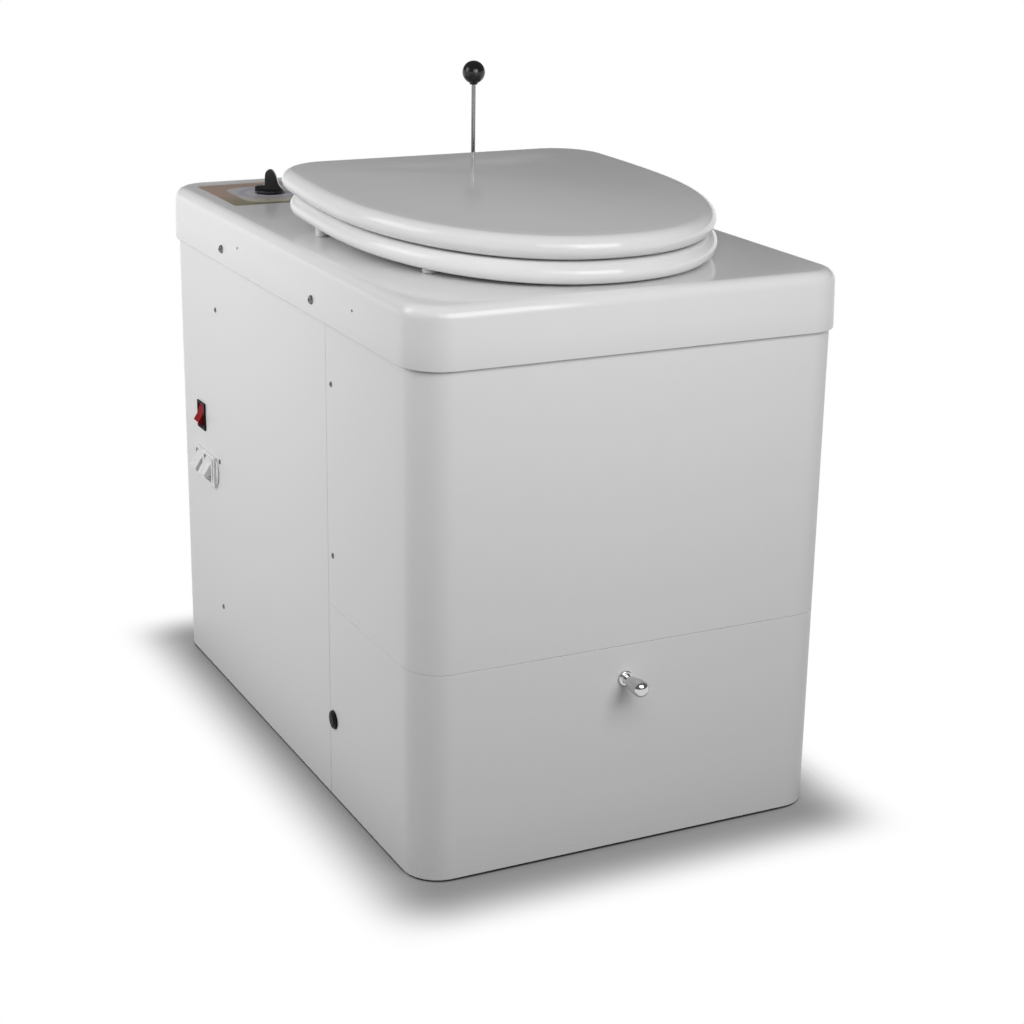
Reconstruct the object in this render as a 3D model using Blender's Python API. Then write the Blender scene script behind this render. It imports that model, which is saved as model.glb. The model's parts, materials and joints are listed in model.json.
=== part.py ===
"""Incinerating toilet: a sheet-metal casing with a moulded top cover, seat and lid, a ball lever that
opens the trap under the bowl, an electric combustion chamber, an exhaust fan and a pull-out ash drawer.

Metres, +Z up. The origin is on the floor under the middle of the casing. X runs to the user's right when
they face the toilet, Y from the front of the casing to its rear.
"""
import math

import bmesh
import bpy
from mathutils import Matrix

# Clearances and cutters
GAP = 0.0003
SEAM = 0.001
SLIDE_GAP = 0.0006
OVERRUN = 0.004

# Casing
CASE_WIDTH = 0.432
CASE_DEPTH = 0.690
FRONT_RADIUS = 0.035
REAR_RADIUS = 0.038
SHEET = 0.002
PANEL_BOTTOM = 0.0023
PANEL_TOP = 0.525
SEAM_HEIGHT = 0.205
SIDE_SEAM = 0.216
REAR_WRAP = 0.027
REAR_LAP = 0.022

# Base pan
BASE_SHEET = 0.002
BASE_RIM_HEIGHT = 0.012
BASE_FRONT_SETBACK = 0.003

# Top cover
COVER_TOP = 0.541
COVER_SKIRT_BOTTOM = 0.485
COVER_WALL = 0.0035
COVER_OVERHANG = 0.0041
COVER_DRAFT = 0.0013
COVER_EDGE_RADIUS = 0.012
EDGE_STEPS = 4

# Bowl aperture, shared by seat, cover and bowl
BOWL_SETBACK = 0.240
APERTURE_HALF_WIDTH = 0.118
APERTURE_HALF_DEPTH = 0.148
OVAL_STEPS = 40

# Seat and lid, a rounded plan with a straight rear edge, tilted a little front down
SEAT_OFFSET = -0.006
SEAT_TILT = math.radians(1.674)
LID_HALF_WIDTH = 0.1866
LID_FRONT_DEPTH = 0.2702
LID_WIDEST_SETBACK = 0.2893
LID_REAR_SETBACK = 0.4483
LID_REAR_HALF_WIDTH = 0.1772
LID_REAR_RADIUS = 0.0581
LID_FRONT_POWER = 2.16
LID_THICKNESS = 0.0213
LID_RIM_DEPTH = 0.0118
SEAT_INSET = 0.0017
SEAT_FORWARD = 0.007
SEAT_THICKNESS = 0.0195
SEAT_FRONT_LIFT = 0.0012
LID_SEAT_GAP = 0.0014
SEAT_HOLE_INNER_RADIUS = 0.007
RIM_STEPS = 4
FRONT_STEPS = 13
SIDE_STEPS = 3
CORNER_STEPS = 5
RING_HOLE_SHARE = 0.97

# Seat buffers
BUFFER_RADIUS = 0.007
BUFFER_WAIST_SHARE = 0.8
BUFFER_FRONT_SETBACK = 0.134
BUFFER_FRONT_HALF_SPACING = 0.140
BUFFER_REAR_SETBACK = 0.333
BUFFER_REAR_HALF_SPACING = 0.166

# Seat hinges
HINGE_HALF_SPACING = 0.078
HINGE_LID_SPACE = 0.0092
HINGE_HEIGHT = 0.586
HINGE_KNUCKLE_RADIUS = 0.0065
HINGE_KNUCKLE_WIDTH = 0.010
HINGE_PIN_RADIUS = 0.003
HINGE_PIN_CLEARANCE = 0.0004
HINGE_FLANGE_RADIUS = 0.012
HINGE_FLANGE_THICKNESS = 0.003
HINGE_STEM_RADIUS = 0.005
HINGE_ARM_THICKNESS = 0.005
LID_ARM_HALF_HEIGHT = 0.004
SEAT_ARM_HALF_HEIGHT = 0.005

# Bowl
BOWL_FLANGE_WIDTH = 0.012
BOWL_WALL = 0.002
BOWL_OUTLET_RADIUS = 0.050
BOWL_OUTLET_BOTTOM = 0.396
BOWL_NECK_HEIGHT = 0.010
BOWL_SWELL = 0.8

# Trap flap and its shaft
SHAFT_X = 0.062
SHAFT_Z = 0.3886
SHAFT_RADIUS = 0.004
SHAFT_FRONT_SETBACK = 0.176
FLAP_THICKNESS = 0.0025
FLAP_OVERLAP = 0.006
FLAP_TAIL = 0.004
CRANK_REACH = 0.01287
CRANK_DOWN = math.radians(40)

# Throat
THROAT_WALL = 0.002
THROAT_LEFT = -0.059
THROAT_RIGHT = 0.078
THROAT_HALF_DEPTH = 0.060
THROAT_TOP = 0.402
BEARING_CLEARANCE = 0.0004

# Lever
LEVER_X = 0.064
LEVER_SETBACK = 0.490
LEVER_PIVOT_HEIGHT = 0.500
LEVER_ROD_RADIUS = 0.00225
BALL_RADIUS = 0.0122
BALL_HEIGHT = 0.674
BALL_NECK_RADIUS = 0.005
BALL_NECK_LENGTH = 0.0035
LEVER_RANGE = math.radians(32)
HUB_RADIUS = 0.009
HUB_WIDTH = 0.012
HUB_BORE_CLEARANCE = 0.0004
ARM_REACH = 0.030
ARM_DOWN = math.radians(16)
ARM_HALF_HEIGHT = 0.005
ARM_THICKNESS = 0.005
PIVOT_PIN_RADIUS = 0.004
STUD_RADIUS = 0.0025
STUD_CLEARANCE = 0.00045
LINK_THICKNESS = 0.003
LINK_WALL = 0.0022
LINK_SETBACK = 0.491
STUD_OVERRUN = 0.0025
BRACKET_SETBACK = 0.500
BRACKET_SHEET = 0.003
BRACKET_LEFT = 0.040
BRACKET_RIGHT = 0.108
BRACKET_BOTTOM = 0.374
BRACKET_FLANGE = 0.016
SLOT_CLEARANCE = 0.001
TRIM_BORDER = 0.005
TRIM_THICKNESS = 0.002

# Frame posts, channels open towards the middle
POST_DEPTH = 0.020
POST_WIDTH_FRONT = 0.050
POST_BEHIND_SEAM = 0.024
POST_WIDTH_REAR = 0.038
POST_CONTROL_SPACE = 0.015
POST_SHEET = 0.002

# Shelf, chamber and insulation
SHELF_BOTTOM = 0.208
SHELF_SHEET = 0.0025
SHELF_FRONT = 0.060
SHELF_REAR_SPACE = 0.006
CHAMBER_HALF_WIDTH = 0.117
CHAMBER_HALF_DEPTH = 0.127
CHAMBER_HEIGHT = 0.120
CHAMBER_WALL = 0.002
JACKET_WALL = 0.025

# Heating element and thermocouple
ELEMENT_RADIUS = 0.004
ELEMENT_WALL_SPACE = 0.014
ELEMENT_BEND = 0.012
ELEMENT_LOW = 0.235
ELEMENT_HIGH = 0.270
ELEMENT_TERMINAL_X = 0.040
ELEMENT_TERMINAL_SPACING = 0.030
ELEMENT_TAIL = 0.034
ELEMENT_SIDES = 8
THERMO_X = 0.020
THERMO_DROP = 0.0308
THERMO_RADIUS = 0.003
THERMO_DEPTH = 0.030
THERMO_HEAD_RADIUS = 0.009
THERMO_HEAD_LENGTH = 0.014

# Exhaust duct, fan and flue
DUCT_LEFT = -0.100
DUCT_HALF_HEIGHT = 0.035
DUCT_PAST_FAN = 0.040
DUCT_WALL = 0.0015
FAN_SLACK_SHARE = 0.6967
FAN_FOOT_HEIGHT = 0.0065
FAN_HALF_WIDTH = 0.040
FAN_WALL = 0.0015
FAN_START_RADIUS = 0.052
FAN_END_RADIUS = 0.068
FAN_OUTLET_RISE = 0.014
FAN_MOUTH_REACH = 0.080
FAN_INLET_RADIUS = 0.030
FAN_STEPS = 20
IMPELLER_RADIUS = 0.044
IMPELLER_HUB_RADIUS = 0.012
IMPELLER_BLADES = 12
IMPELLER_BLADE_THICKNESS = 0.002
IMPELLER_HALF_WIDTH = 0.028
IMPELLER_PLATE = 0.002
IMPELLER_SHAFT_RADIUS = 0.003
MOTOR_RADIUS = 0.030
MOTOR_LENGTH = 0.044
MOTOR_BORE_DEPTH = 0.020
MOTOR_BOSS_RADIUS = 0.012
MOTOR_BOSS_LENGTH = 0.006
FAN_FOOT_HALF_DEPTH = 0.020
FLUE_RADIUS = 0.033
FLUE_WALL = 0.0015
FLUE_PROUD = 0.032
FLUE_FLANGE_SHEET = 0.002

# Ash drawer
TRAY_SIDE_SPACE = 0.042
TRAY_SHEET = 0.002
TRAY_FLOOR = 0.012
TRAY_WALL_TOP = 0.045
TRAY_REAR_SPACE = 0.130
TRAY_LIP_HEIGHT = 0.030
TRAY_LIP_REACH = 0.007
RUNNER_SIDE_SPACE = 0.031
RUNNER_SHEET = 0.002
RUNNER_SLOT = 0.010
RUNNER_FRONT = 0.020
RUNNER_REAR_SPACE = 0.090
RUNNER_FOOT = 0.008
PAN_SIDE_SPACE = 0.036
PAN_FRONT = 0.072
PAN_REAR = 0.412
PAN_WALL = 0.002
PAN_SHELF_SPACE = 0.008
PAN_LIP = 0.008
PAN_TAPER = 0.010

# Drawer knob and side plug
KNOB_X = -0.006
KNOB_HEIGHT = 0.173
KNOB_FLANGE_RADIUS = 0.0087
KNOB_FLANGE_THICKNESS = 0.003
KNOB_NECK_RADIUS = 0.0052
KNOB_BULB_RADIUS = 0.0082
KNOB_LENGTH = 0.038
KNOB_SCREW_RADIUS = 0.002
KNOB_SCREW_LENGTH = 0.010
PLUG_BEFORE_SEAM = 0.010
PLUG_HEIGHT = 0.0855
PLUG_RADIUS = 0.0096
PLUG_RISE = 0.0035
PLUG_STEM_RADIUS = 0.0065

# Timer, label and control box
TIMER_SIDE_SPACE = 0.082
TIMER_PLACE_SHARE = 0.5374
TIMER_KNOB_RADIUS = 0.0145
TIMER_KNOB_BASE = 0.0055
TIMER_KNOB_HEIGHT = 0.0245
TIMER_RIM_SHARES = (0.93, 0.7)
TIMER_FIN_THICKNESS = 0.0075
TIMER_FIN_SINK = 0.001
TIMER_SHAFT_RADIUS = 0.003
TIMER_SHAFT_REACH = 0.010
TIMER_KNOB_LIFT = 0.0008
TIMER_FIN_TURN = math.radians(-24)
TIMER_BODY_HALF = 0.022
TIMER_BODY_DEPTH = 0.040
TIMER_BUSH_RADIUS = 0.0055
LABEL_SIDE_SPACE = 0.021
LABEL_WIDTH = 0.120
LABEL_FRONT_SHARE = 0.2562
LABEL_REAR_SHARE = 0.8413
LABEL_CORNER = 0.004
LABEL_THICKNESS = 0.0006
LABEL_RECESS = 0.0005
CONTROL_SIDE_SPACE = 0.011
CONTROL_WIDTH = 0.085
CONTROL_TIMER_SPACE = 0.001
CONTROL_REAR_SHARE = 0.502
CONTROL_POWER_SPACE = 0.0375
CONTROL_TOP = 0.470
CONTROL_WALL = 0.002

# Power rocker
POWER_POST_SPACE = 0.046
POWER_BREAKER_SPACE = 0.0225
POWER_HALF_WIDTH = 0.012
POWER_HALF_HEIGHT = 0.0155
BEZEL_THICKNESS = 0.002
SWITCH_DEPTH = 0.028
SWITCH_WALL = 0.0014
ROCKER_MARGIN = 0.0032
ROCKER_SIDE_GAP = 0.0006
ROCKER_BACK_SHARE = 0.7
POWER_PIVOT_DEPTH = 0.003
POWER_THROW = math.radians(28)
POWER_FACE = 0.0052
POWER_CREASE = 0.0036
POWER_BACK = 0.0045

# Breaker block with two toggles and a narrow side bay
BREAKER_POST_SPACE = 0.0055
BREAKER_WIDTH = 0.048
BREAKER_SHELF_SPACE = 0.0145
BREAKER_HEIGHT = 0.034
BREAKER_PROUD = 0.0035
BREAKER_LIP = 0.0025
BREAKER_CAVITY = 0.012
BREAKER_SIDE_BAY = 0.011
TOGGLE_PIVOT_DEPTH = 0.004
TOGGLE_PIVOT_RISE = 0.0215
TOGGLE_RADIUS = 0.0185

# Mains inlet
INLET_SIDE_SPACE = 0.096
INLET_HEIGHT = 0.090
INLET_NUT_RADIUS = 0.013
INLET_NUT_THICKNESS = 0.006
INLET_DOME_RADIUS = 0.010
INLET_DOME_LENGTH = 0.012
INLET_BORE_RADIUS = 0.004
INLET_MOUTH_WALL = 0.002
INLET_THREAD_RADIUS = 0.008
INLET_THREAD_LENGTH = 0.014

# Worked out from the sizes above
FRONT_Y = -CASE_DEPTH / 2
REAR_Y = CASE_DEPTH / 2
HALF_WIDTH = CASE_WIDTH / 2
INNER_X = HALF_WIDTH - SHEET
BOWL_Y = FRONT_Y + BOWL_SETBACK
COVER_UNDER = COVER_TOP - COVER_WALL
COVER_REST = COVER_UNDER - GAP
SHELF_TOP = SHELF_BOTTOM + SHELF_SHEET
PAN_TOP = SHELF_BOTTOM - PAN_SHELF_SPACE
CHAMBER_BOTTOM = SHELF_TOP + GAP
CHAMBER_TOP = CHAMBER_BOTTOM + CHAMBER_HEIGHT
THERMO_HEIGHT = CHAMBER_TOP - THERMO_DROP
HINGE_Y = FRONT_Y + LID_REAR_SETBACK + HINGE_LID_SPACE
LEVER_Y = FRONT_Y + LEVER_SETBACK
POST_OUTER = INNER_X - GAP
POST_INNER = POST_OUTER - POST_DEPTH
TILT = math.tan(SEAT_TILT)
SEAM_Y = FRONT_Y + SIDE_SEAM
REAR_PANEL_INNER = REAR_Y - SHEET - GAP - SHEET
TRAY_HALF_WIDTH = HALF_WIDTH - TRAY_SIDE_SPACE
RUNNER_OUTER = HALF_WIDTH - RUNNER_SIDE_SPACE
PAN_HALF_WIDTH = TRAY_HALF_WIDTH - PAN_SIDE_SPACE
TIMER_X = -HALF_WIDTH + TIMER_SIDE_SPACE
INLET_X = -HALF_WIDTH + INLET_SIDE_SPACE

# The timer and its label take their shares of the cover behind the hinges. The rear posts stand ahead of the
# control box under the timer. Behind the left post the switches are stacked from the shelf up to that box.
HINGE_REAR_Y = HINGE_Y + HINGE_FLANGE_RADIUS
REAR_ROOM = REAR_Y - HINGE_REAR_Y
TIMER_Y = HINGE_REAR_Y + TIMER_PLACE_SHARE * REAR_ROOM
LABEL_FRONT_Y = HINGE_REAR_Y + LABEL_FRONT_SHARE * REAR_ROOM
LABEL_REAR_Y = HINGE_REAR_Y + LABEL_REAR_SHARE * REAR_ROOM
CONTROL_FRONT_Y = TIMER_Y - TIMER_BODY_HALF - CONTROL_TIMER_SPACE
REAR_POST_Y = CONTROL_FRONT_Y - POST_CONTROL_SPACE
POWER_Y = REAR_POST_Y + POWER_POST_SPACE
BREAKER_FRONT_Y = REAR_POST_Y + BREAKER_POST_SPACE
BREAKER_REAR_Y = BREAKER_FRONT_Y + BREAKER_WIDTH
BREAKER_BOTTOM = SHELF_TOP + BREAKER_SHELF_SPACE
BREAKER_TOP = BREAKER_BOTTOM + BREAKER_HEIGHT
TOGGLE_PIVOT_HEIGHT = BREAKER_BOTTOM + TOGGLE_PIVOT_RISE
POWER_HEIGHT = BREAKER_TOP + POWER_BREAKER_SPACE + POWER_HALF_HEIGHT
CONTROL_BOTTOM = POWER_HEIGHT + POWER_HALF_HEIGHT + CONTROL_POWER_SPACE

# The fan stands on the shelf between the jacket and the rear panel, with its share of the slack in front
JACKET_REAR_Y = BOWL_Y + CHAMBER_HALF_DEPTH + GAP + JACKET_WALL
FAN_SLACK = REAR_PANEL_INNER - JACKET_REAR_Y - FAN_END_RADIUS - FAN_MOUTH_REACH - GAP - FLUE_FLANGE_SHEET
FAN_Y = JACKET_REAR_Y + FAN_END_RADIUS + FAN_SLACK_SHARE * FAN_SLACK
FAN_MOUTH_Y = FAN_Y + FAN_MOUTH_REACH
FAN_HEIGHT = SHELF_TOP + FAN_FOOT_HEIGHT + FAN_END_RADIUS
FAN_OUTLET_LOW = FAN_HEIGHT + FAN_OUTLET_RISE
DUCT_BOTTOM = FAN_HEIGHT - DUCT_HALF_HEIGHT
DUCT_TOP = FAN_HEIGHT + DUCT_HALF_HEIGHT


def from_front(setback):
    """The Y of a place given as its distance behind the casing's front face."""
    return FRONT_Y + setback


def material(name, colour, roughness, metallic=0.0):
    """A Principled material, made once and shared by its name."""
    if name in bpy.data.materials:
        return bpy.data.materials[name]
    made = bpy.data.materials.new(name)
    made.use_nodes = True
    shader = made.node_tree.nodes["Principled BSDF"]
    shader.inputs["Base Color"].default_value = (*colour, 1)
    shader.inputs["Roughness"].default_value = roughness
    shader.inputs["Metallic"].default_value = metallic
    made.diffuse_color = (*colour, 1)
    return made


def white_paint():
    return material("white_powder_coat", (0.78, 0.78, 0.77), 0.35)


def gloss_white():
    return material("gloss_white_moulding", (0.82, 0.82, 0.81), 0.12)


def stainless():
    return material("stainless_steel", (0.62, 0.62, 0.61), 0.28, 1.0)


def zinc_sheet():
    return material("zinc_sheet", (0.55, 0.56, 0.57), 0.42, 1.0)


def heat_steel():
    return material("heat_steel", (0.30, 0.28, 0.27), 0.55, 1.0)


def chrome():
    return material("chrome_plate", (0.80, 0.80, 0.80), 0.07, 1.0)


def black_plastic():
    return material("black_plastic", (0.012, 0.012, 0.013), 0.22)


def white_plastic():
    return material("white_plastic", (0.80, 0.80, 0.79), 0.30)


def red_plastic():
    return material("red_plastic", (0.42, 0.004, 0.008), 0.20)


def fibre_board():
    return material("ceramic_fibre", (0.70, 0.68, 0.62), 0.95)


def label_film():
    return material("label_film", (0.52, 0.46, 0.40), 0.35)


def rubber():
    return material("clear_rubber", (0.70, 0.69, 0.66), 0.45)


def object_from(name, verts, faces, finish, smooth=None):
    """An object from vertices and faces, with its normals outward and its own place in the mesh."""
    mesh = bpy.data.meshes.new(name)
    mesh.from_pydata(verts, [], faces)
    work = bmesh.new()
    work.from_mesh(mesh)
    bmesh.ops.recalc_face_normals(work, faces=work.faces)
    if work.calc_volume(signed=True) < 0:
        bmesh.ops.reverse_faces(work, faces=work.faces)
    work.to_mesh(mesh)
    work.free()
    made = bpy.data.objects.new(name, mesh)
    bpy.context.collection.objects.link(made)
    mesh.materials.append(finish)
    if smooth:
        mesh.shade_smooth()
        mesh.set_sharp_from_angle(angle=smooth)
    return made


def place(axis, u, v, along):
    """A point of a section drawn across an axis: X takes (y, z), Y takes (x, z) and Z takes (x, y)."""
    if axis == "X":
        return (along, u, v)
    if axis == "Y":
        return (u, along, v)
    return (u, v, along)


def prism(name, outline, low, high, finish, axis="Z", smooth=None):
    """A flat outline carried straight along an axis."""
    count = len(outline)
    verts = [place(axis, u, v, low) for u, v in outline]
    verts += [place(axis, u, v, high) for u, v in outline]
    sides = [(i, (i + 1) % count, count + (i + 1) % count, count + i) for i in range(count)]
    caps = [tuple(range(count)), tuple(reversed(range(count, 2 * count)))]
    return object_from(name, verts, sides + caps, finish, smooth)


def box(name, low, high, finish):
    """A box between its lowest and its highest corner."""
    outline = [(low[0], low[1]), (high[0], low[1]), (high[0], high[1]), (low[0], high[1])]
    return prism(name, outline, low[2], high[2], finish)


def turned(name, profile, centre, axis, finish, steps=24, smooth=None):
    """A profile of (radius, place along the axis) turned about an axis through centre."""
    verts, rings = [], []
    for radius, along in profile:
        if radius == 0:
            rings.append([len(verts)])
            verts.append(turn_point(axis, centre, 0, 0, along))
            continue
        rings.append(list(range(len(verts), len(verts) + steps)))
        for i in range(steps):
            angle = math.tau * i / steps
            verts.append(turn_point(axis, centre, radius * math.cos(angle), radius * math.sin(angle), along))
    faces = []
    pairs = list(zip(rings, rings[1:]))
    if profile[0][0] > 0 and profile[-1][0] > 0:
        pairs.append((rings[-1], rings[0]))
    for first, second in pairs:
        for i in range(steps):
            j = (i + 1) % steps
            low = first[i % len(first)], first[j % len(first)]
            high = second[j % len(second)], second[i % len(second)]
            faces.append(tuple(dict.fromkeys(low + high)))
    return object_from(name, verts, [f for f in faces if len(f) > 2], finish, smooth)


def turn_point(axis, centre, u, v, along):
    """A point at (u, v) across the axis and along it, measured from centre."""
    x, y, z = place(axis, u, v, along)
    return (centre[0] + x, centre[1] + y, centre[2] + z)


def stacked(name, loops, finish, ring=False, smooth=None):
    """Loops of equal count joined in turn, closed as a ring or with both ends capped."""
    count = len(loops[0])
    verts = [point for loop in loops for point in loop]
    faces = []
    total = len(loops)
    for level in range(total if ring else total - 1):
        low, high = level * count, (level + 1) % total * count
        faces += [(low + i, low + (i + 1) % count, high + (i + 1) % count, high + i) for i in range(count)]
    if not ring:
        faces += [tuple(range(count)), tuple(reversed(range((total - 1) * count, total * count)))]
    return object_from(name, verts, faces, finish, smooth)


def swept(name, points, radius, sides, finish):
    """A round tube of constant radius along a list of points, with flat ends."""
    rings = []
    normal = None
    for i, point in enumerate(points):
        before, after = points[max(i - 1, 0)], points[min(i + 1, len(points) - 1)]
        along = [b - a for a, b in zip(before, after)]
        length = math.sqrt(sum(c * c for c in along))
        along = [c / length for c in along]
        if normal is None:
            normal = [0.0, 0.0, 1.0] if abs(along[2]) < abs(along[0]) + abs(along[1]) else [1.0, 0.0, 0.0]
        dot = sum(a * b for a, b in zip(normal, along))
        normal = [a - dot * b for a, b in zip(normal, along)]
        size = math.sqrt(sum(c * c for c in normal))
        normal = [c / size for c in normal]
        cross = [along[1] * normal[2] - along[2] * normal[1], along[2] * normal[0] - along[0] * normal[2],
                 along[0] * normal[1] - along[1] * normal[0]]
        angles = [math.tau * k / sides for k in range(sides)]
        rings.append([tuple(p + radius * (math.cos(t) * n + math.sin(t) * c)
                            for p, n, c in zip(point, normal, cross)) for t in angles])
    return stacked(name, rings, finish, smooth=math.radians(50))


def carve(target, cutter, operation="DIFFERENCE"):
    """Cuts or joins with an exact Boolean, applies it and removes the cutter."""
    modifier = target.modifiers.new(operation.lower(), "BOOLEAN")
    modifier.operation = operation
    modifier.solver = "EXACT"
    modifier.object = cutter
    evaluated = target.evaluated_get(bpy.context.evaluated_depsgraph_get())
    mesh = bpy.data.meshes.new_from_object(evaluated)
    target.modifiers.remove(modifier)
    old = target.data
    target.data = mesh
    mesh.name = target.name
    bpy.data.meshes.remove(old)
    bpy.data.objects.remove(cutter)
    return target


def cut_box(target, low, high):
    return carve(target, box("cutter", low, high, target.data.materials[0]))


def cut_round(target, radius, centre, axis, low, high, steps=24):
    """A round hole, between two places along the axis measured from centre."""
    profile = [(0, low), (radius, low), (radius, high), (0, high)]
    return carve(target, turned("cutter", profile, centre, axis, target.data.materials[0], steps))


def join_round(target, radius, centre, axis, low, high, steps=16):
    profile = [(0, low), (radius, low), (radius, high), (0, high)]
    return carve(target, turned("adder", profile, centre, axis, target.data.materials[0], steps), "UNION")


def join_box(target, low, high):
    return carve(target, box("adder", low, high, target.data.materials[0]), "UNION")


def arc(cx, cy, radius, start, end, steps):
    """Points along an arc, angles in degrees."""
    angles = [math.radians(start + (end - start) * i / steps) for i in range(steps + 1)]
    return [(cx + radius * math.cos(a), cy + radius * math.sin(a)) for a in angles]


def rounded_rectangle(x0, y0, x1, y1, front_radius, rear_radius, steps=6):
    """A closed plan with one radius at the front corners and one at the rear."""
    outline = arc(x0 + front_radius, y0 + front_radius, front_radius, 180, 270, steps)
    outline += arc(x1 - front_radius, y0 + front_radius, front_radius, 270, 360, steps)
    outline += arc(x1 - rear_radius, y1 - rear_radius, rear_radius, 0, 90, steps)
    outline += arc(x0 + rear_radius, y1 - rear_radius, rear_radius, 90, 180, steps)
    return outline


def front_path(inset, end_y):
    """The casing's plan line round both front corners, from one side seam to the other."""
    half, radius = HALF_WIDTH - inset, FRONT_RADIUS - inset
    front = FRONT_Y + inset
    path = [(-half, end_y)] + arc(-half + radius, front + radius, radius, 180, 270, 6)
    return path + arc(half - radius, front + radius, radius, 270, 360, 6) + [(half, end_y)]


def rear_path(inset, start_y):
    """The casing's plan line from the left side seam round the rear corner, on to the back."""
    half, radius = HALF_WIDTH - inset, REAR_RADIUS - inset
    rear = REAR_Y - inset
    path = [(-half, start_y)] + arc(-half + radius, rear - radius, radius, 180, 90, 6)
    return path + [(-HALF_WIDTH + REAR_RADIUS + REAR_WRAP, rear)]


def mirrored(outline):
    return [(-u, v) for u, v in reversed(outline)]


def make_casing():
    """Upper front panel, side panels, rear panel and base pan."""
    seam_y = SEAM_Y
    wall = front_path(0, seam_y) + list(reversed(front_path(SHEET, seam_y)))
    smooth = math.radians(30)
    prism("upper_front_panel", wall, SEAM_HEIGHT + SEAM / 2, PANEL_TOP, white_paint(), smooth=smooth)
    side = rear_path(0, seam_y + SEAM) + list(reversed(rear_path(SHEET, seam_y + SEAM)))
    left = prism("left_side_panel", side, PANEL_BOTTOM, PANEL_TOP, white_paint(), smooth=smooth)
    prism("right_side_panel", mirrored(side), PANEL_BOTTOM, PANEL_TOP, white_paint(), smooth=smooth)
    outside, inside = -HALF_WIDTH - OVERRUN, -INNER_X + OVERRUN
    reach = POWER_HALF_WIDTH - SWITCH_WALL, POWER_HALF_HEIGHT - SWITCH_WALL
    cut_box(left, (outside, POWER_Y - reach[0], POWER_HEIGHT - reach[1]),
            (inside, POWER_Y + reach[0], POWER_HEIGHT + reach[1]))
    cut_box(left, (outside, BREAKER_FRONT_Y + BREAKER_LIP, BREAKER_BOTTOM + BREAKER_LIP),
            (inside, BREAKER_REAR_Y - BREAKER_LIP, BREAKER_TOP - BREAKER_LIP))
    back_y = REAR_Y - SHEET - GAP
    half = HALF_WIDTH - REAR_RADIUS - REAR_WRAP + REAR_LAP
    rear = box("rear_panel", (-half, back_y - SHEET, PANEL_BOTTOM), (half, back_y, PANEL_TOP), white_paint())
    flue_z = (FAN_OUTLET_LOW + FAN_HEIGHT + FAN_END_RADIUS) / 2
    cut_round(rear, FLUE_RADIUS + SLIDE_GAP, (0, back_y, flue_z), "Y", -SHEET - OVERRUN, OVERRUN)
    inlet = (INLET_X, back_y, INLET_HEIGHT)
    cut_round(rear, INLET_THREAD_RADIUS + GAP, inlet, "Y", -SHEET - OVERRUN, OVERRUN)
    make_base_pan()


def make_base_pan():
    """A flat pan with a low rim along its sides and rear; the drawer passes over its open front."""
    edge = SHEET + SLIDE_GAP
    plan = rounded_rectangle(-HALF_WIDTH + edge, from_front(BASE_FRONT_SETBACK), HALF_WIDTH - edge,
                             REAR_Y - SHEET - GAP - SHEET - GAP, FRONT_RADIUS - edge, REAR_RADIUS - edge)
    pan = prism("base_pan", plan, 0, BASE_SHEET + BASE_RIM_HEIGHT, zinc_sheet())
    inner = edge + BASE_SHEET
    hollow = rounded_rectangle(-HALF_WIDTH + inner, from_front(BASE_FRONT_SETBACK) - FRONT_RADIUS - OVERRUN,
                               HALF_WIDTH - inner, REAR_Y - SHEET - GAP - SHEET - GAP - BASE_SHEET,
                               FRONT_RADIUS, REAR_RADIUS - inner)
    cutter = prism("cutter", hollow, BASE_SHEET, BASE_SHEET + BASE_RIM_HEIGHT + OVERRUN, zinc_sheet())
    carve(pan, cutter)
    front = from_front(BASE_FRONT_SETBACK) - OVERRUN
    cut_box(pan, (-HALF_WIDTH, front, BASE_SHEET), (HALF_WIDTH, front + FRONT_RADIUS + OVERRUN, SEAM_HEIGHT))


def make_posts():
    """Four upright channels that carry the panels, the shelf and the cover."""
    places = (("front", SEAM_Y + POST_BEHIND_SEAM, POST_WIDTH_FRONT),
              ("rear", REAR_POST_Y, POST_WIDTH_REAR))
    for name, y1, width in places:
        y0, t = y1 - width, POST_SHEET
        channel = [(-POST_OUTER, y0), (-POST_INNER, y0), (-POST_INNER, y0 + t), (-POST_OUTER + t, y0 + t),
                   (-POST_OUTER + t, y1 - t), (-POST_INNER, y1 - t), (-POST_INNER, y1), (-POST_OUTER, y1)]
        for side, outline in (("left", channel), ("right", mirrored(channel))):
            post = prism(f"{name}_post_{side}", outline, BASE_SHEET + GAP, COVER_REST, zinc_sheet())
            notch_post(post, -1 if side == "left" else 1)


def notch_post(post, sign):
    """Notches the post's outer face over the base pan's rim and under the cover's rounded edge."""
    rim = HALF_WIDTH - SHEET - SLIDE_GAP - BASE_SHEET - GAP
    low, high = sorted((sign * rim, sign * HALF_WIDTH))
    cut_box(post, (low, FRONT_Y, 0), (high, REAR_Y, BASE_SHEET + BASE_RIM_HEIGHT + GAP))
    curve = COVER_EDGE_RADIUS - COVER_WALL
    edge = HALF_WIDTH + COVER_OVERHANG - COVER_DRAFT - COVER_WALL - curve - GAP
    low, high = sorted((sign * edge, sign * HALF_WIDTH))
    cut_box(post, (low, FRONT_Y, COVER_UNDER - curve - GAP), (high, REAR_Y, COVER_TOP))


def cover_loop(inset, height):
    """The cover's plan at one inset from its lowest outer edge."""
    half, radius = HALF_WIDTH + COVER_OVERHANG - inset, FRONT_RADIUS + COVER_OVERHANG - inset
    rear = REAR_RADIUS + COVER_OVERHANG - inset
    y0, y1 = FRONT_Y - COVER_OVERHANG + inset, REAR_Y + COVER_OVERHANG - inset
    return [(x, y, height) for x, y in rounded_rectangle(-half, y0, half, y1, radius, rear)]


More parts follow.
